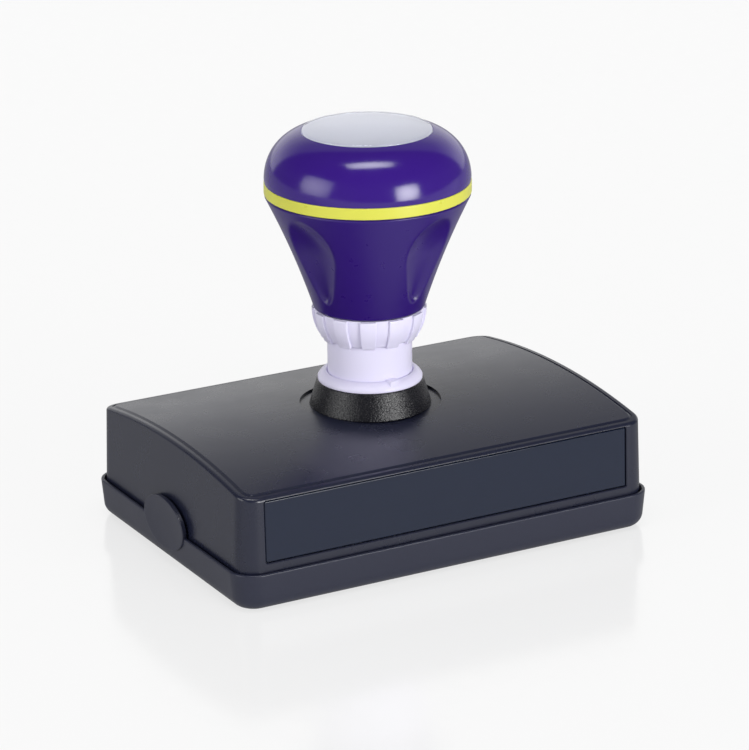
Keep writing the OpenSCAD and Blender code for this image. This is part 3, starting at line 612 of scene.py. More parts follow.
def surface(name):
    """Starts a material: its tree, and the pattern's place on the piece."""
    material = bpy.data.materials.new(name)
    material.use_nodes = True
    tree = material.node_tree
    tree.nodes.clear()
    place = add(tree, "TexCoord").outputs["Object"]
    return material, tree, add(tree, "Mapping", {"Vector": place})


# The stamp's materials: the nodes that have each, its colour, its grain's size and height in
# millimetres, the range of its roughness, a cloud where that varies apart from the grain, and the
# sockets in which it isn't like ABS
MATERIALS = {
    # Moulded ABS from a spark-eroded tool: an even matt grain that spreads reflections into a soft
    # sheen. The real grain is near 0.08 mm and is drawn coarser here, so that it shows.
    "moulded ABS, housing": dict(
        nodes=["housing"], colour="housing", size=0.3, height=0.012, gloss=(0.26, 0.3),
        cloud=MATT_CLOUD),
    "moulded ABS, dust cover": dict(
        nodes=["dust_cover"], colour="cover", size=0.35, height=0.02, gloss=(0.34, 0.38),
        cloud=MATT_CLOUD),
    "moulded ABS, holder": dict(
        nodes=["sleeve_nut", "die_holder", "die_frame"], colour="holder", size=0.3, height=0.012,
        gloss=(0.4, 0.44), cloud=MATT_CLOUD),
    # Deep-textured ABS: coarse sparkling grain, near 0.3 mm, with dark pits between bright tops.
    "deep-textured ABS": dict(
        nodes=["collar"], colour="collar", size=0.3, height=0.12, detail=3.0, gloss=(0.2, 0.34)),
    # Glossy ABS from a polished tool: clear reflections on a faint orange peel, uneven gloss.
    "polished ABS, cap": dict(
        nodes=["knob_cap"], colour="knob", **PEEL, gloss=(0.12, 0.18)),
    "polished ABS, band": dict(
        nodes=["accent_band"], colour="band", **PEEL, gloss=(0.27, 0.33)),
    "satin ABS, grip": dict(
        nodes=["grip_body"], colour="grip", **PEEL, gloss=(0.27, 0.33),
        sockets={**ABS, "Specular IOR Level": 0.42}),
    # Moulded acetal: smooth and waxy, with a little light passing under its skin.
    "moulded acetal": dict(
        nodes=["guide_sleeve", "depth_ring", "drag_washer"], colour="sleeve", **WAX),
    "moulded acetal, stem": dict(nodes=["stem"], colour="stem", **WAX),
    # Smoked acrylic sheet: flat, glossy and nearly black.
    "smoked acrylic": dict(
        nodes=["label_window"], colour="window", size=6, height=0.004, gloss=(0.1, 0.16),
        sockets={"IOR": 1.49}),
    # Cast clear acrylic, polished: sharp reflections, with the disc seen through it.
    "cast clear acrylic": dict(
        nodes=["knob_lens"], colour="lens", size=5, height=0.002,
        sockets={"IOR": 1.49, "Transmission Weight": 1.0, "Roughness": 0.02}),
    # Blank coated card: a soft sheen on a fine paper tooth.
    "coated card": dict(
        nodes=["lens_disc"], colour="disc", size=0.4, height=0.006, detail=4.0, gloss=(0.4, 0.55),
        sockets={"IOR": 1.45}),
    # Zinc-plated steel: pale metal with a bluish, slightly cloudy plate.
    "zinc-plated steel": dict(
        nodes=["return_spring", "sleeve_washer", "stem_screw", "stem_washer", "spring_washer",
               "holder_screws"],
        colour="zinc", size=0.5, height=0.004, detail=4.0, gloss=(0.25, 0.45),
        sockets={"Metallic": 1.0}),
    # Ink-soaked foam rubber: open pores hold the ink and break up the light.
    "inked foam": dict(nodes=["ink_foam"], colour="foam", size=0.6, height=0.2, **PORES),
    "microporous rubber, inked": dict(
        nodes=["flash_die"], colour="die", size=0.3, height=0.1, **PORES),
}


def grained(name, nodes, colour, size, height, gloss=None, cloud=None, detail=2.0,
            kind="TexNoise", sockets=ABS):
    """Makes a material of the table."""
    material, tree, place = surface(name)
    colour = getattr(bpy.context.scene.stamp_finish, colour)
    sockets = {"Base Color": colour, **sockets}
    pattern = add(tree, kind, {"Vector": place, "Scale": 1 / (size * MM), "Detail": detail})
    sockets["Normal"] = add(tree, "Bump", {
        "Height": pattern, "Strength": 1.0, "Distance": height * MM})
    if cloud:
        pattern = add(tree, "TexNoise", {
            "Vector": place, "Scale": 1 / (cloud[0] * MM), "Detail": cloud[1]})
    if gloss:
        sockets["Roughness"] = add(tree, "MapRange", {
            **MIDDLE, "Value": pattern, "To Min": gloss[0], "To Max": gloss[1]})
    shader = add(tree, "BsdfPrincipled", sockets)
    if "Transmission Weight" in sockets:
        # Lamps shine through to what lies below
        shadow = add(tree, "LightPath").outputs["Is Shadow Ray"]
        clear = add(tree, "BsdfTransparent", {"Color": colour})
        shader = add(tree, "MixShader", {0: shadow, 1: shader, 2: clear})
    add(tree, "OutputMaterial", {"Surface": shader})
    return material


def finish_of(node):
    """The material of a node, made for the first node that has it."""
    name, row = next(item for item in MATERIALS.items() if node in item[1]["nodes"])
    return bpy.data.materials.get(name) or grained(name, **row)


def settle(piece, node, smooth=35):
    """Shades and finishes a piece, and puts it in the place, body and slot of its CAD node."""
    choose(piece)
    bpy.ops.object.shade_smooth_by_angle(angle=math.radians(smooth))
    modify(piece, "WEIGHTED_NORMAL", keep_sharp=True)
    piece.data.materials.clear()
    piece.data.materials.append(finish_of(node))
    record = frame["record"]
    bodies = record["behaviour"]["bodies"]
    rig.ride(piece, next(body for body, nodes in bodies.items() if node in nodes))
    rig.replaces(piece, node)
    slots = {part["node"]: part["material_slot"] for part in record["subparts"]}
    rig.slot(piece, slots[node])


class STAMP_OT_housing(Operator):
    """Models the vaulted housing with its rounded rim, groove, skirt, seat and window recess"""
    bl_idname = "stamp.housing"
    bl_label = "Housing"

    def execute(self, context):
        case = context.scene.stamp_case
        low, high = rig.box("housing")
        foot = case.edge_round
        shell = block("housing_shell", (low.x, low.y, case.shoulder + foot),
                      (high.x, high.y, case.shoulder + 2 * foot))
        round_uprights(shell, case.corner)

        # Up the drafted side, over the rounded rim and through the groove to the panel
        border = high.z - case.panel_step
        pick_facing(shell, UP)
        step(case.draft, border - case.rim_round - case.shoulder - 2 * foot)
        round_over(case.rim_round, steps=7)
        step(case.land, 0)
        wall = EDGE_BREAK / 2
        step(wall, case.panel_step - case.groove_depth)
        step(case.groove - case.groove_slope - wall, 0)
        step(case.groove_slope, case.groove_depth - wall / 2)
        step(EDGE_BREAK, wall / 2)

        # Down to the skirt, and up inside it to the roof
        pick_facing(shell, DOWN)
        round_over(foot, steps=3)
        step(SKIRT_STEP - foot, 0)
        draw(low.z + EDGE_BREAK - case.shoulder)
        round_over(EDGE_BREAK, steps=2)
        step(SKIRT_WALL - 2 * EDGE_BREAK, 0)
        step(EDGE_BREAK, -EDGE_BREAK)
        draw(high.z - ROOF - low.z - EDGE_BREAK)
        bend_to_vault(shell, case, case.shoulder + 3 * foot)

        # Boss under the roof, sunk seat for the collar and bore for the sleeve
        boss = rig.box("sleeve_washer")[1].z
        above = high.z + 3 * OVER
        combine(shell, rod("seat_boss", BOSS, boss, high.z - ROOF / 2), "UNION")
        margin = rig.box("collar")[1].x + case.seat_margin
        seat = rod("seat_cutter", margin, high.z - case.seat_cut, above)
        bend_to_vault(seat, case, 0)
        combine(shell, seat, "DIFFERENCE")
        combine(shell, rod("bore_cutter", TAIL + FIT, boss - OVER, above), "DIFFERENCE")

        # Recess for the label window, with a chamfered edge
        plate_low, plate_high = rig.box("label_window")
        width = plate_high.x + case.window_gap
        lean = math.cos(math.atan2(case.draft, case.side))
        tall = (plate_high.z - plate_low.z) / lean + 2 * case.window_gap
        edge = case.window_edge
        recess = block("recess_cutter", (-width - edge, case.window_below - edge, 0),
                       (width + edge, case.window_below + tall + edge, OVER))
        round_uprights(recess, case.window_corner, steps=4)
        pick_facing(recess, DOWN)
        step(edge, edge)
        draw(edge - case.window_depth)
        lean_on_front(recess, case)
        combine(shell, recess, "DIFFERENCE")

        settle(shell, "housing")
        return {"FINISHED"}


class STAMP_OT_dust_cover(Operator):
    """Models the dust cover: a tapered tray with a rounded foot, a rebated rim and two tabs"""
    bl_idname = "stamp.dust_cover"
    bl_label = "Dust cover"

    def execute(self, context):
        case = context.scene.stamp_case
        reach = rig.box("dust_cover")[1]
        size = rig.box("housing")[1] + Vector((case.cover_step, case.cover_step, 0))
        lip = case.cover_height - case.cover_rim
        band = 0.3 * MM
        tray = block("dust_cover_tray", (-size.x, -size.y, lip - band), (size.x, size.y, lip))
        round_uprights(tray, case.corner + case.cover_step)

        # Down the tapered wall and round the foot
        pick_facing(tray, DOWN)
        step(case.cover_taper, lip - band - case.cover_foot)
        round_over(case.cover_foot, steps=9)

        # Over the rim, down the rebate, and past the ledge to the floor
        pick_facing(tray, UP)
        round_over(case.cover_rim, steps=4)
        rim = case.cover_step - case.cover_slot
        step(rim - case.cover_rim - EDGE_BREAK, 0)
        step(EDGE_BREAK, -EDGE_BREAK)
        draw(EDGE_BREAK - COVER_REBATE)
        step(COVER_WALL - rim, 0)
        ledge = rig.box("housing")[0].z
        draw(ledge + COVER_REBATE - case.cover_height)
        step(COVER_LEDGE, 0)
        draw(COVER_FLOOR - ledge)

        # A dished tab at each end, modelled round, then drawn oval and rooted in the wall
        root, brow = reach.x - case.tab_thick, reach.x - case.tab_round
        radius = case.tab_width / 2
        face = radius - 2 * case.tab_round
        shares = [1 - k / TAB_ROWS for k in range(TAB_ROWS)]
        for side in (-1, 1):
            tab = begin("thumb_tab", bpy.ops.mesh.primitive_cylinder_add, vertices=TAB_STEPS,
                        radius=radius, depth=brow - root, location=((root + brow) / 2, 0, 0),
                        rotation=(0, math.pi / 2, 0))
            pick_facing(tab, RIGHT)
            round_over(case.tab_round)
            step(case.tab_round, 0)
            for outside, inside in zip(shares, shares[1:]):
                step(face / TAB_ROWS, case.tab_dish * (inside ** 2 - outside ** 2))
            choose(tab)
            tab.scale.z = case.tab_height / case.tab_width
            tab.location.z = case.cover_height + case.tab_up
            tab.rotation_euler.z = math.pi / 2 - side * math.pi / 2
            bpy.ops.object.transform_apply()
            combine(tray, tab, "UNION")

        settle(tray, "dust_cover")
        return {"FINISHED"}


class STAMP_OT_label_window(Operator):
    """Models the smoked plate in the label window"""
    bl_idname = "stamp.label_window"
    bl_label = "Label window"

    def execute(self, context):
        case = context.scene.stamp_case
        low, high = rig.box("label_window")
        tilt = math.atan2(case.draft, case.side)
        thick, edge = case.plate_thick, case.plate_edge
        tall = (high.z - low.z - thick * math.sin(tilt)) / math.cos(tilt)
        start = case.window_below + case.window_gap
        spare = case.window_gap / 2
        plate = block("label_window_plate",
                      (low.x - spare, start - spare, -case.window_depth),
                      (high.x + spare, start + tall + spare, thick - case.window_depth - edge))
        round_uprights(plate, case.window_corner - case.window_gap, steps=4)
        pick_facing(plate, UP)
        round_over(edge, steps=3)
        lean_on_front(plate, case)
        settle(plate, "label_window")
        return {"FINISHED"}


class STAMP_OT_collar(Operator):
    """Turns the conical collar under the sleeve, and trims its foot to the vaulted seat"""
    bl_idname = "stamp.collar"
    bl_label = "Collar"

    def execute(self, context):
        case, stem = context.scene.stamp_case, context.scene.stamp_stem
        wide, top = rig.box("collar")[1].x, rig.box("collar")[1].z
        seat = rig.box("housing")[1].z - case.seat_cut
        foot = seat - vault_drop(case)(wide)
        bore = TAIL + FIT
        collar = turned("collar_cone", eased([
            (bore, foot, 0), (wide - stem.collar_under, foot, 0),
            (wide, foot + stem.collar_lip, stem.collar_lip),
            (stem.collar_top, top, stem.collar_round), (bore, top, 0)], steps=6))
        trim = block("vault_cutter", (-2 * wide, -2 * wide, foot - 2 * OVER),
                     (2 * wide, 2 * wide, seat + FIT))
        bend_to_vault(trim, case, foot - OVER)
        combine(collar, trim, "DIFFERENCE")
        settle(collar, "collar")
        return {"FINISHED"}


class STAMP_OT_guide_sleeve(Operator):
    """Turns the white guide sleeve, cuts its keyway inside the depth ring and adds its key block"""
    bl_idname = "stamp.guide_sleeve"
    bl_label = "Guide sleeve"

    def execute(self, context):
        stem = context.scene.stamp_stem
        low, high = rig.box("guide_sleeve")
        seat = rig.box("collar")[1].z
        ledge, foot = seat + stem.flange_rim, seat + stem.flange
        neck, groove, ease = stem.neck, stem.neck_groove, stem.flange_ease
        outline = eased([
            (SLEEVE_BORE, low.z, 0), (TAIL, low.z, 0), (TAIL, seat, 0), (high.x, seat, ease),
            (high.x, ledge, 0)])[:-1]
        outline += bowed((high.x, ledge), (neck + groove, foot), stem.flange_swell, BOW_ROWS)
        outline += eased([
            (neck + groove, foot, 0), (neck, foot - groove, 0), (neck, high.z, groove),
            (CHAMBER, high.z, ease), (CHAMBER, ledge, 0), (SLEEVE_BORE, ledge, 0)])[1:]
        sleeve = turned("guide_sleeve_neck", outline)
        half = stem.key_width / 2
        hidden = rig.box("depth_ring")[0].z + stem.ring_round
        keyway = block("keyway_cutter", (-half, -neck - OVER, hidden),
                       (half, stem.key_depth - neck, high.z + OVER))
        combine(sleeve, keyway, "DIFFERENCE")
        lug = block("key_block", (-half, -neck - stem.key_block, seat + FIT),
                    (half, -CHAMBER - stem.key_depth, foot + stem.key_depth))
        bpy.ops.mesh.bevel(offset=stem.key_round, segments=3, affect="EDGES")
        combine(sleeve, lug, "UNION")
        settle(sleeve, "guide_sleeve")
        return {"FINISHED"}


class STAMP_OT_depth_ring(Operator):
    """Turns the depth ring's core, raises its ribs and eases their edges"""
    bl_idname = "stamp.depth_ring"
    bl_label = "Depth ring"

    def execute(self, context):
        stem = context.scene.stamp_stem
        low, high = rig.box("depth_ring")
        top, rib, ease, foot = high.x, stem.rib_height, stem.rib_round, stem.ring_round
        core = stem.ring_foot - rib
        ring = turned("depth_ring_core", (
            [(NECK_BORE, low.z)] + arc((core - foot, low.z + foot), foot, -90, -45, steps=3)
            + bowed((core, low.z + foot + ease), (top - rib, high.z - ease), stem.ring_swell,
                    BOW_ROWS)
            + [(top - rib - ease, high.z), (RING_SOCKET, high.z),
               (RING_SOCKET, low.z + RING_LEDGE), (NECK_BORE, low.z + RING_LEDGE)]),
            steps=RING_STEPS)

        # Faces on a rib's width, at even places round the core, are drawn out from it
        def on_rib(face):
            middle = face.calc_center_median()
            out = Vector((middle.x, middle.y, 0)).normalized()
            away = abs(off_nearest(math.atan2(middle.y, middle.x), RIBS))
            outer = face.normal.dot(out) > RIB_OUT and face.normal.z < RIB_UP
            return away < stem.rib_angle / 2 and outer and middle.xy.length > core - foot

        pick(ring, "FACE", on_rib)
        bpy.ops.mesh.extrude_region_shrink_fatten(TRANSFORM_OT_shrink_fatten={"value": rib})
        modify(ring, "BEVEL", width=ease, segments=2, limit_method="ANGLE", angle_limit=RIB_EDGE)
        settle(ring, "depth_ring")
        return {"FINISHED"}


def flute_reach(knob, foot_z, side_radius):
    """Gives a function for the fluted grip's radius at an angle from a flute and a height."""
    def valley(up, depth):
        return Vector((side_radius(foot_z + up) - depth, foot_z + up))

    narrow, wide, blend = knob.flute_foot, knob.flute_head, knob.flute_edge
    foot = valley(knob.flute_foot_up, knob.flute_foot_depth)
    head = valley(knob.flute_head_up, knob.flute_head_depth)
    out = Vector((head.y - foot.y, foot.x - head.x)).normalized()
    foot += narrow * out
    head += wide * out
    start = Vector((foot.x, 0, foot.y))
    axis = Vector((head.x, 0, head.y)) - start
    reach = axis.length
    axis.normalize()
    lean = (wide - narrow) / reach
    upright = math.sqrt(1 - lean * lean)

    def outside_cutter(point):
        # Distance from a cone with round ends
        along = (point - start).dot(axis)
        off = (point - start - along * axis).length
        beside = along + off * lean / upright
        if beside < 0:
            return math.hypot(off, along) - narrow
        if beside > reach:
            return math.hypot(off, along - reach) - wide
        return off * upright - lean * along - narrow

    @lru_cache(maxsize=None)
    def radius(angle, height):
        full = side_radius(height)
        least, most = full - FLUTE_DEEPEST, full
        for _ in range(FLUTE_HALVINGS):
            middle = (least + most) / 2
            point = Vector((middle * math.cos(angle), middle * math.sin(angle), height))
            skin, hollow = (middle - full) * SIDE_SHARE, -outside_cutter(point)
            near = max(blend - abs(skin - hollow), 0) / blend
            if max(skin, hollow) + near * near * blend / 4 > 0:
                most = middle
            else:
                least = middle
        return least

    return radius


class STAMP_OT_grip(Operator):
    """Turns the grip's trumpet and presses the four flutes into its side"""
    bl_idname = "stamp.grip"
    bl_label = "Grip"

    def execute(self, context):
        knob = context.scene.stamp_knob
        low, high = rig.box("grip_body")
        foot_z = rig.box("depth_ring")[1].z + knob.gap
        lip, lean, crest = knob.foot_round, knob.foot_lean, knob.top_round
        foot = (knob.foot, foot_z + lip * (1 - math.sin(lean)))
        shoulder = (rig.box("accent_band")[1].x - knob.top_in, high.z - crest)
        web, web_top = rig.box("spring_washer")[1].z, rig.box("stem_washer")[0].z
        tube, tube_z = CAP_TUBE + FIT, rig.box("knob_cap")[0].z

        def side_radius(height):
            t = (height - foot[1]) / (shoulder[1] - foot[1])
            return foot[0] + t * (shoulder[0] - foot[0]) - 4 * knob.hollow * t * (1 - t)

        foot_middle = (knob.foot - lip * math.cos(lean), foot_z + lip)
        grip = turned("grip_trumpet", (
            [(NECK_BORE, low.z), (GRIP_TAIL, low.z), (GRIP_TAIL, foot_z),
             (knob.foot - 2 * lip, foot_z)]
            + arc(foot_middle, lip, -90, -math.degrees(lean), steps=6)[:-1]
            + bowed(foot, shoulder, -knob.hollow, GRIP_ROWS)
            + arc((shoulder[0] - crest, shoulder[1]), crest, 15, 90, steps=6)
            + [(tube, high.z), (tube, tube_z), (CAP_BORE, tube_z), (WEB_HOLLOW, web_top),
               (WEB_BORE, web_top), (WEB_BORE, web), (NECK_BORE, web)]), steps=GRIP_STEPS)

        # Press the flutes into the side, each point straight towards the stem's axis
        fluted = flute_reach(knob, foot_z, side_radius)
        on_side = 0.4 * MM
        mesh = bmesh.from_edit_mesh(grip.data)
        for vert in mesh.verts:
            radius, height = vert.co.xy.length, vert.co.z
            full = side_radius(height)
            if foot[1] <= height <= shoulder[1] and abs(radius - full) < on_side:
                angle = math.atan2(vert.co.y, vert.co.x) - knob.flute_turn
                angle = abs(off_nearest(angle, FLUTES))
                there = radius + fluted(round(angle, 6), round(height, 8)) - full
                vert.co.xy *= min(1, there / radius)
        bmesh.update_edit_mesh(grip.data)
        settle(grip, "grip_body", smooth=40)
        return {"FINISHED"}


class STAMP_OT_knob_cap(Operator):
    """Turns the domed cap with its pocket for the lens"""
    bl_idname = "stamp.knob_cap"
    bl_label = "Knob cap"

    def execute(self, context):
        knob = context.scene.stamp_knob
        low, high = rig.box("knob_cap")
        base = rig.box("accent_band")[1].z
        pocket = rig.box("lens_disc")[0].z
        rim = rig.box("knob_lens")[1].x + FIT
        under = pocket - LENS_SEAT
        edge, lip = knob.edge, knob.edge / 2
        shell = dome((high.x, base), knob.dome_in, (rim + lip, high.z), knob.fullness, DOME_ROWS)
        cap = turned("knob_cap_dome", (
            [(0, under), (rim - LENS_SEAT, under), (CAP_BORE, base + edge), (CAP_BORE, low.z),
             (CAP_TUBE, low.z), (CAP_TUBE, base), (high.x - 1.5 * edge, base),
             (high.x - edge / 2, base + edge / 5)]
            + shell[2:]
            + [(rim + lip / 3, high.z - lip / 3), (rim, high.z - lip), (rim, pocket),
               (0, pocket)]), closed=False)
        settle(cap, "knob_cap", smooth=40)
        return {"FINISHED"}


class STAMP_OT_accent_band(Operator):
    """Turns the yellow band with eased edges"""
    bl_idname = "stamp.accent_band"
    bl_label = "Accent band"

    def execute(self, context):
        edge = context.scene.stamp_knob.edge
        low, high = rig.box("accent_band")
        bore = CAP_TUBE + FIT
        band = turned("accent_band_ring", eased([
            (bore, low.z, 0), (high.x, low.z, edge), (high.x, high.z, edge), (bore, high.z, 0)]))
        settle(band, "accent_band")
        return {"FINISHED"}


class STAMP_OT_lens(Operator):
    """Turns the clear lens and the blank disc under it"""
    bl_idname = "stamp.lens"
    bl_label = "Lens and disc"

    def execute(self, context):
        knob = context.scene.stamp_knob
        low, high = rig.box("lens_disc")
        wide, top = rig.box("knob_lens")[1].x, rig.box("knob_lens")[1].z
        rim, curl = top - knob.lens_rise, knob.lens_edge
        face, under = wide - curl, high.z - CONTACT
        shares = [1 - k / LENS_ROWS for k in range(LENS_ROWS + 1)]
        lens = turned("knob_lens_dome", (
            [(0, under), (wide - curl / 3, under), (wide, under + curl / 3)]
            + arc((face, rim - curl), curl, 0, 78, steps=6)
            + [(face * t, rim + knob.lens_rise * (1 - t * t)) for t in shares]), closed=False)
        settle(lens, "knob_lens", smooth=60)
        disc = turned("lens_disc_card", [
            (0, low.z), (high.x, low.z), (high.x, high.z - FIT), (high.x - FIT, high.z),
            (0, high.z)], closed=False)
        settle(disc, "lens_disc")
        return {"FINISHED"}


class STAMP_OT_return_spring(Operator):
    """Winds the return spring, with a nearly closed turn at each end, to shorten with the handle"""
    bl_idname = "stamp.return_spring"
    bl_label = "Return spring"

    def execute(self, context):
        stem = context.scene.stamp_stem
        low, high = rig.box("return_spring")
        wire, turns = stem.wire / 2, stem.coils
        closed = stem.wire + stem.wire_gap
        pitch = (high.z - low.z - stem.wire - 2 * closed) / (turns - 2)
        spring = begin("return_spring_coil", bpy.ops.mesh.primitive_circle_add,
                       vertices=WIRE_STEPS, radius=wire, fill_type="NGON",
                       location=(high.x - wire, 0, low.z + wire), rotation=(math.pi / 2, 0, 0))
        for k in range(turns * COIL_STEPS):
            rise = pitch if COIL_STEPS <= k < (turns - 1) * COIL_STEPS else closed
            draw(rise / COIL_STEPS)
            bpy.ops.transform.rotate(value=-math.tau / COIL_STEPS, orient_axis="Z",
                                     center_override=(0, 0, 0))
        bpy.ops.mesh.select_all(action="SELECT")
        bpy.ops.mesh.normals_make_consistent(inside=False)
        settle(spring, "return_spring")

        # Its foot stays on the sleeve's ledge, and its top follows the handle
        joints = frame["record"]["behaviour"]["joints"]
        travel = next(joint["range_m"][1] for joint in joints if joint["name"] == "handle_press")
        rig.squash(spring, "handle_press", axis=(0, 0, 1), anchor=(0, 0, low.z),
                  keep=1 - travel / (high.z - low.z))
        return {"FINISHED"}


INNER_PARTS = (
    "sleeve_washer", "sleeve_nut", "stem", "stem_screw", "stem_washer", "spring_washer",
    "die_holder", "holder_screws", "ink_foam", "flash_die", "die_frame", "drag_washer",
)


class STAMP_OT_inner_parts(Operator):
    """Finishes the parts inside, which keep their CAD shapes"""
    bl_idname = "stamp.inner_parts"
    bl_label = "Inner parts"

    def execute(self, context):
        for node in INNER_PARTS:
            slots = frame["nodes"][node].material_slots
            if not slots:
                raise RuntimeError(f"{node} has no material slot")
            for slot in slots:
                slot.material = finish_of(node)
        return {"FINISHED"}


def heading(azimuth, elevation):
    """Unit vector of a direction: azimuth 0 leads behind the stamp, a quarter turn to its right."""
    level_part = math.cos(elevation)
    return Vector((math.sin(azimuth) * level_part, math.cos(azimuth) * level_part,
                   math.sin(elevation)))


def soft_box(name, studio, way, width, height, radiance, aim):
    """Adds a soft box of a given brightness, brightest in its middle, set out from the aim."""
    light = bpy.data.lights.new(name, "AREA")
    light.shape = "RECTANGLE"
    light.size, light.size_y = width, height
    light.energy = radiance * math.pi * width * height
    light.use_nodes = True
    tree = light.node_tree
    tree.nodes.clear()

    # Squared distance from the middle: 0 there, 1 at the middle of an edge and 2 at a corner
    across = add(tree, "NewGeometry").outputs["Parametric"]
    centred = add(tree, "VectorMath", {0: across, 1: (2, 2, 0), 2: (-1, -1, 0)},
                  operation="MULTIPLY_ADD")
    squared = add(tree, "VectorMath", {0: centred, 1: centred}, operation="DOT_PRODUCT")
    glow = add(tree, "MapRange", {
        "Value": squared.outputs["Value"], "From Min": 0.0, "From Max": 2.0,
        "To Min": 1 + studio.box_falloff / 2, "To Max": 1 - studio.box_falloff})
    emission = add(tree, "Emission", {"Strength": glow})
    add(tree, "OutputLight", {"Surface": emission})
    lamp = bpy.data.objects.new(name, light)
    bpy.context.scene.collection.objects.link(lamp)
    lamp.location = aim + studio.box_far * way
    lamp.rotation_euler = way.to_track_quat("Z", "Y").to_euler()


def set_camera(scene, studio, aim):
    """Sets the camera out from the aim, and then pans, tilts and rolls it."""
    back = heading(studio.camera_turn + math.pi, studio.camera_rise)
    right = (-back).cross(UP).normalized()
    up = right.cross(-back)
    sight = math.tan(studio.camera_pan) * right + math.tan(studio.camera_tilt) * up - back
    sight.normalize()
    right = sight.cross(up).normalized()
    up = right.cross(sight)
    roll = studio.camera_roll
    right, up = (math.cos(roll) * right + math.sin(roll) * up,
                 math.cos(roll) * up - math.sin(roll) * right)
    camera = bpy.data.objects.new("camera", bpy.data.cameras.new("camera"))
    scene.collection.objects.link(camera)
    camera.matrix_world = (Matrix.Translation(aim + back * studio.camera_far)
                           @ Matrix((right, up, -sight)).transposed().to_4x4())
    camera.data.sensor_width = SENSOR
    camera.data.lens = studio.focal / MM
    camera.data.clip_end = CLIP_END
    scene.camera = camera


def white_sweep(scene, studio):
    """White to the camera, a white sweep and a dim room in reflections, and an even fill light."""
    world = bpy.data.worlds.new("studio")
    scene.world = world
    world.use_nodes = True
    tree = world.node_tree
    tree.nodes.clear()
    way = add(tree, "TexCoord").outputs["Generated"]
    around = studio.camera_turn
    behind = Vector((math.sin(around), math.cos(around), SWEEP_RISE)).normalized()
    facing = add(tree, "VectorMath", {0: way, 1: behind}, operation="DOT_PRODUCT")
    sweep = add(tree, "MapRange", {
        "Value": facing.outputs["Value"], "To Min": studio.room_level, "To Max": 1.0,
        "From Min": math.cos(studio.sweep_turn + studio.sweep_soft),
        "From Max": math.cos(studio.sweep_turn)})
    fading = add(tree, "MapRange", {
        "Value": add(tree, "SeparateXYZ", {"Vector": way}).outputs["Z"],
        "From Min": math.sin(FADE_FROM), "From Max": math.sin(FADE_TO),
        "To Min": 1.0, "To Max": 1 - studio.sweep_fade})
    sweep = add(tree, "Math", {0: sweep, 1: fading}, operation="MULTIPLY")
    gloss = add(tree, "Background", {"Color": WHITE, "Strength": sweep})
    fill = add(tree, "Background", {"Color": WHITE, "Strength": studio.fill_level})
    seen = add(tree, "Background", {"Color": WHITE, "Strength": 1.0})
    path = add(tree, "LightPath").outputs
    mirrored = add(tree, "Math", {0: path["Is Glossy Ray"], 1: path["Is Transmission Ray"]},
                   operation="MAXIMUM")
    lit = add(tree, "MixShader", {0: mirrored, 1: fill, 2: gloss})
    shown = add(tree, "MixShader", {0: path["Is Camera Ray"], 1: lit, 2: seen})
    add(tree, "OutputWorld", {"Surface": shown})


# White laminate: plain white to the eye, with a soft shadow, a faint, uneven reflection, and painted shade where
# reflections show it.
def laminate(studio):
    material, tree, place = surface("white laminate")
    ior = 1.45
    base = add(tree, "BsdfPrincipled", {
        "Base Color": linear("#FCFCFC"), "IOR": ior, "Specular IOR Level": 0.0, "Roughness": 0.6})
    noise = add(tree, "TexNoise", {"Vector": place, "Scale": 1 / (4 * MM)})
    rough = add(tree, "MapRange", {**MIDDLE, "Value": noise, "To Min": 0.12, "To Max": 0.18})
    mirror = add(tree, "BsdfGlossy", {"Color": WHITE, "Roughness": rough})
    path = add(tree, "LightPath").outputs
    # Painted shade: in reflections the floor's glow is darker near and behind the stamp and less dark in front, in
    # place of how the lamps light the floor
    bright = add(tree, "MapRange", {
        "Value": add(tree, "SeparateXYZ", {"Vector": place}).outputs["Y"],
        "From Min": FRONT_FROM * cad_box[0].y, "From Max": FRONT_TO * cad_box[0].y,
        "To Min": 1 - studio.front_dim, "To Max": 1 - studio.floor_dim})
    glow_with_painted_shade = add(tree, "Mix", {0: path["Is Glossy Ray"], 2: 1.0, 3: bright})
    plain = add(tree, "Emission", {"Color": WHITE, "Strength": glow_with_painted_shade})
    looked = path["Is Camera Ray"]
    for ray in ("Is Glossy Ray", "Is Transmission Ray"):
        looked = add(tree, "Math", {0: looked, 1: path[ray]}, operation="MAXIMUM")
    share = add(tree, "Math", {0: looked, 1: studio.floor_glow}, operation="MULTIPLY")
    matt = add(tree, "MixShader", {0: share, 1: base, 2: plain})
    gloss = add(tree, "Fresnel", {"IOR": ior})
    gloss = add(tree, "Math", {0: gloss, 1: path["Is Camera Ray"]}, operation="MULTIPLY")
    add(tree, "OutputMaterial", {
        "Surface": add(tree, "MixShader", {0: gloss, 1: matt, 2: mirror})})
    return material


class STAMP_OT_stage(Operator):
    """Sets the camera, the soft boxes, the white surroundings and the floor"""
    bl_idname = "stamp.stage"
    bl_label = "Stage"

    def execute(self, context):
        scene, studio = context.scene, context.scene.stamp_studio
        scene.view_settings.view_transform = "Standard"
        aim = Vector((0, 0, studio.camera_aim))
        set_camera(scene, studio, aim)
        for side, (azimuth, elevation, width, height, radiance) in SOFT_BOXES.items():
            way = heading(math.radians(azimuth), math.radians(elevation))
            soft_box(f"{side} soft box", studio, way, width * MM, height * MM, radiance, aim)
        white_sweep(scene, studio)
        floor = begin("floor", bpy.ops.mesh.primitive_plane_add, size=FLOOR_SIZE,
                      location=(0, FLOOR_SIZE / 2 - studio.floor_front, -CONTACT))
        choose(floor)
        floor.data.materials.append(laminate(studio))
        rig.stage(floor)
        return {"FINISHED"}


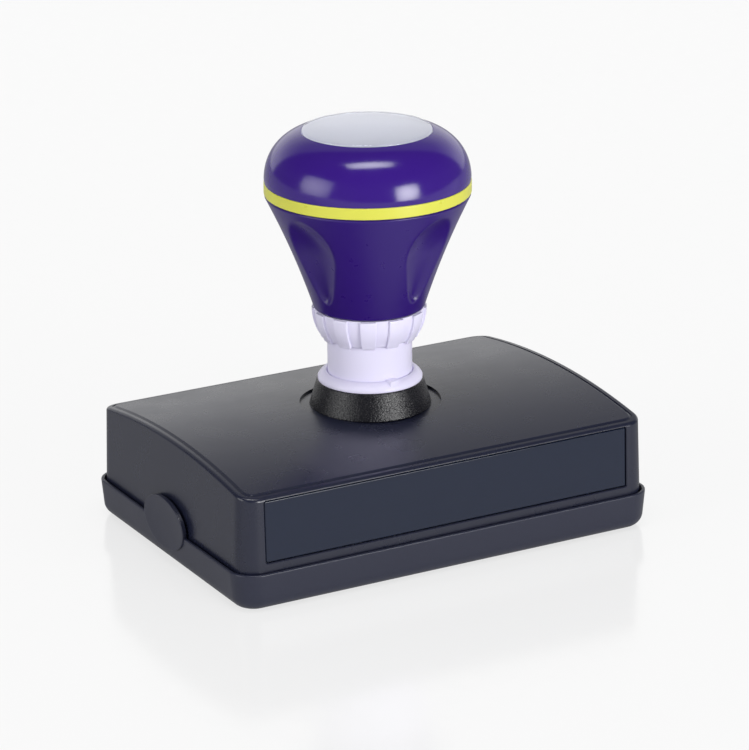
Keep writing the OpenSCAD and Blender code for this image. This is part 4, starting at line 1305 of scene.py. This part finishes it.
OPERATORS = (
    STAMP_OT_housing, STAMP_OT_dust_cover, STAMP_OT_label_window, STAMP_OT_collar,
    STAMP_OT_guide_sleeve, STAMP_OT_depth_ring, STAMP_OT_grip, STAMP_OT_knob_cap,
    STAMP_OT_accent_band, STAMP_OT_lens, STAMP_OT_return_spring, STAMP_OT_inner_parts,
    STAMP_OT_stage,
)
GROUPS = {
    "stamp_case": StampCase, "stamp_stem": StampStem, "stamp_knob": StampKnob,
    "stamp_finish": StampFinish, "stamp_studio": StampStudio,
}


class STAMP_PT_panel(Panel):
    """Lists the stamp's sizes, colours and pieces"""
    bl_idname = "STAMP_PT_panel"
    bl_label = "Pre-inked stamp"
    bl_space_type = "VIEW_3D"
    bl_region_type = "UI"
    bl_category = "Stamp"

    def draw(self, context):
        for operator in OPERATORS:
            self.layout.operator(operator.bl_idname)
        for name, group in GROUPS.items():
            column = self.layout.column(heading=group.__doc__)
            for size in group.__annotations__:
                column.prop(getattr(context.scene, name), size)


def register():
    """Registers the groups, the operators and the panel."""
    for name, group in GROUPS.items():
        bpy.utils.register_class(group)
        setattr(bpy.types.Scene, name, PointerProperty(
            name=group.__name__, description=group.__doc__, type=group))
    for item in OPERATORS + (STAMP_PT_panel,):
        bpy.utils.register_class(item)


def unregister():
    """Takes back what register did."""
    for item in (STAMP_PT_panel,) + OPERATORS[::-1]:
        bpy.utils.unregister_class(item)
    for name, group in GROUPS.items():
        delattr(bpy.types.Scene, name)
        bpy.utils.unregister_class(group)


def main():
    """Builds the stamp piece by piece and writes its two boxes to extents.json."""
    register()
    bpy.ops.stamp.housing()
    bpy.ops.stamp.dust_cover()
    bpy.ops.stamp.label_window()
    bpy.ops.stamp.collar()
    bpy.ops.stamp.guide_sleeve()
    bpy.ops.stamp.depth_ring()
    bpy.ops.stamp.grip()
    bpy.ops.stamp.knob_cap()
    bpy.ops.stamp.accent_band()
    bpy.ops.stamp.lens()
    bpy.ops.stamp.return_spring()
    bpy.ops.stamp.inner_parts()
    bpy.ops.stamp.stage()
    boxes = {"cad": [list(corner) for corner in cad_box],
             "visual": [list(corner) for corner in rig.bounds()]}
    with open("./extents.json", "w") as out:
        json.dump(boxes, out)


if __name__ == "__main__":
    main()
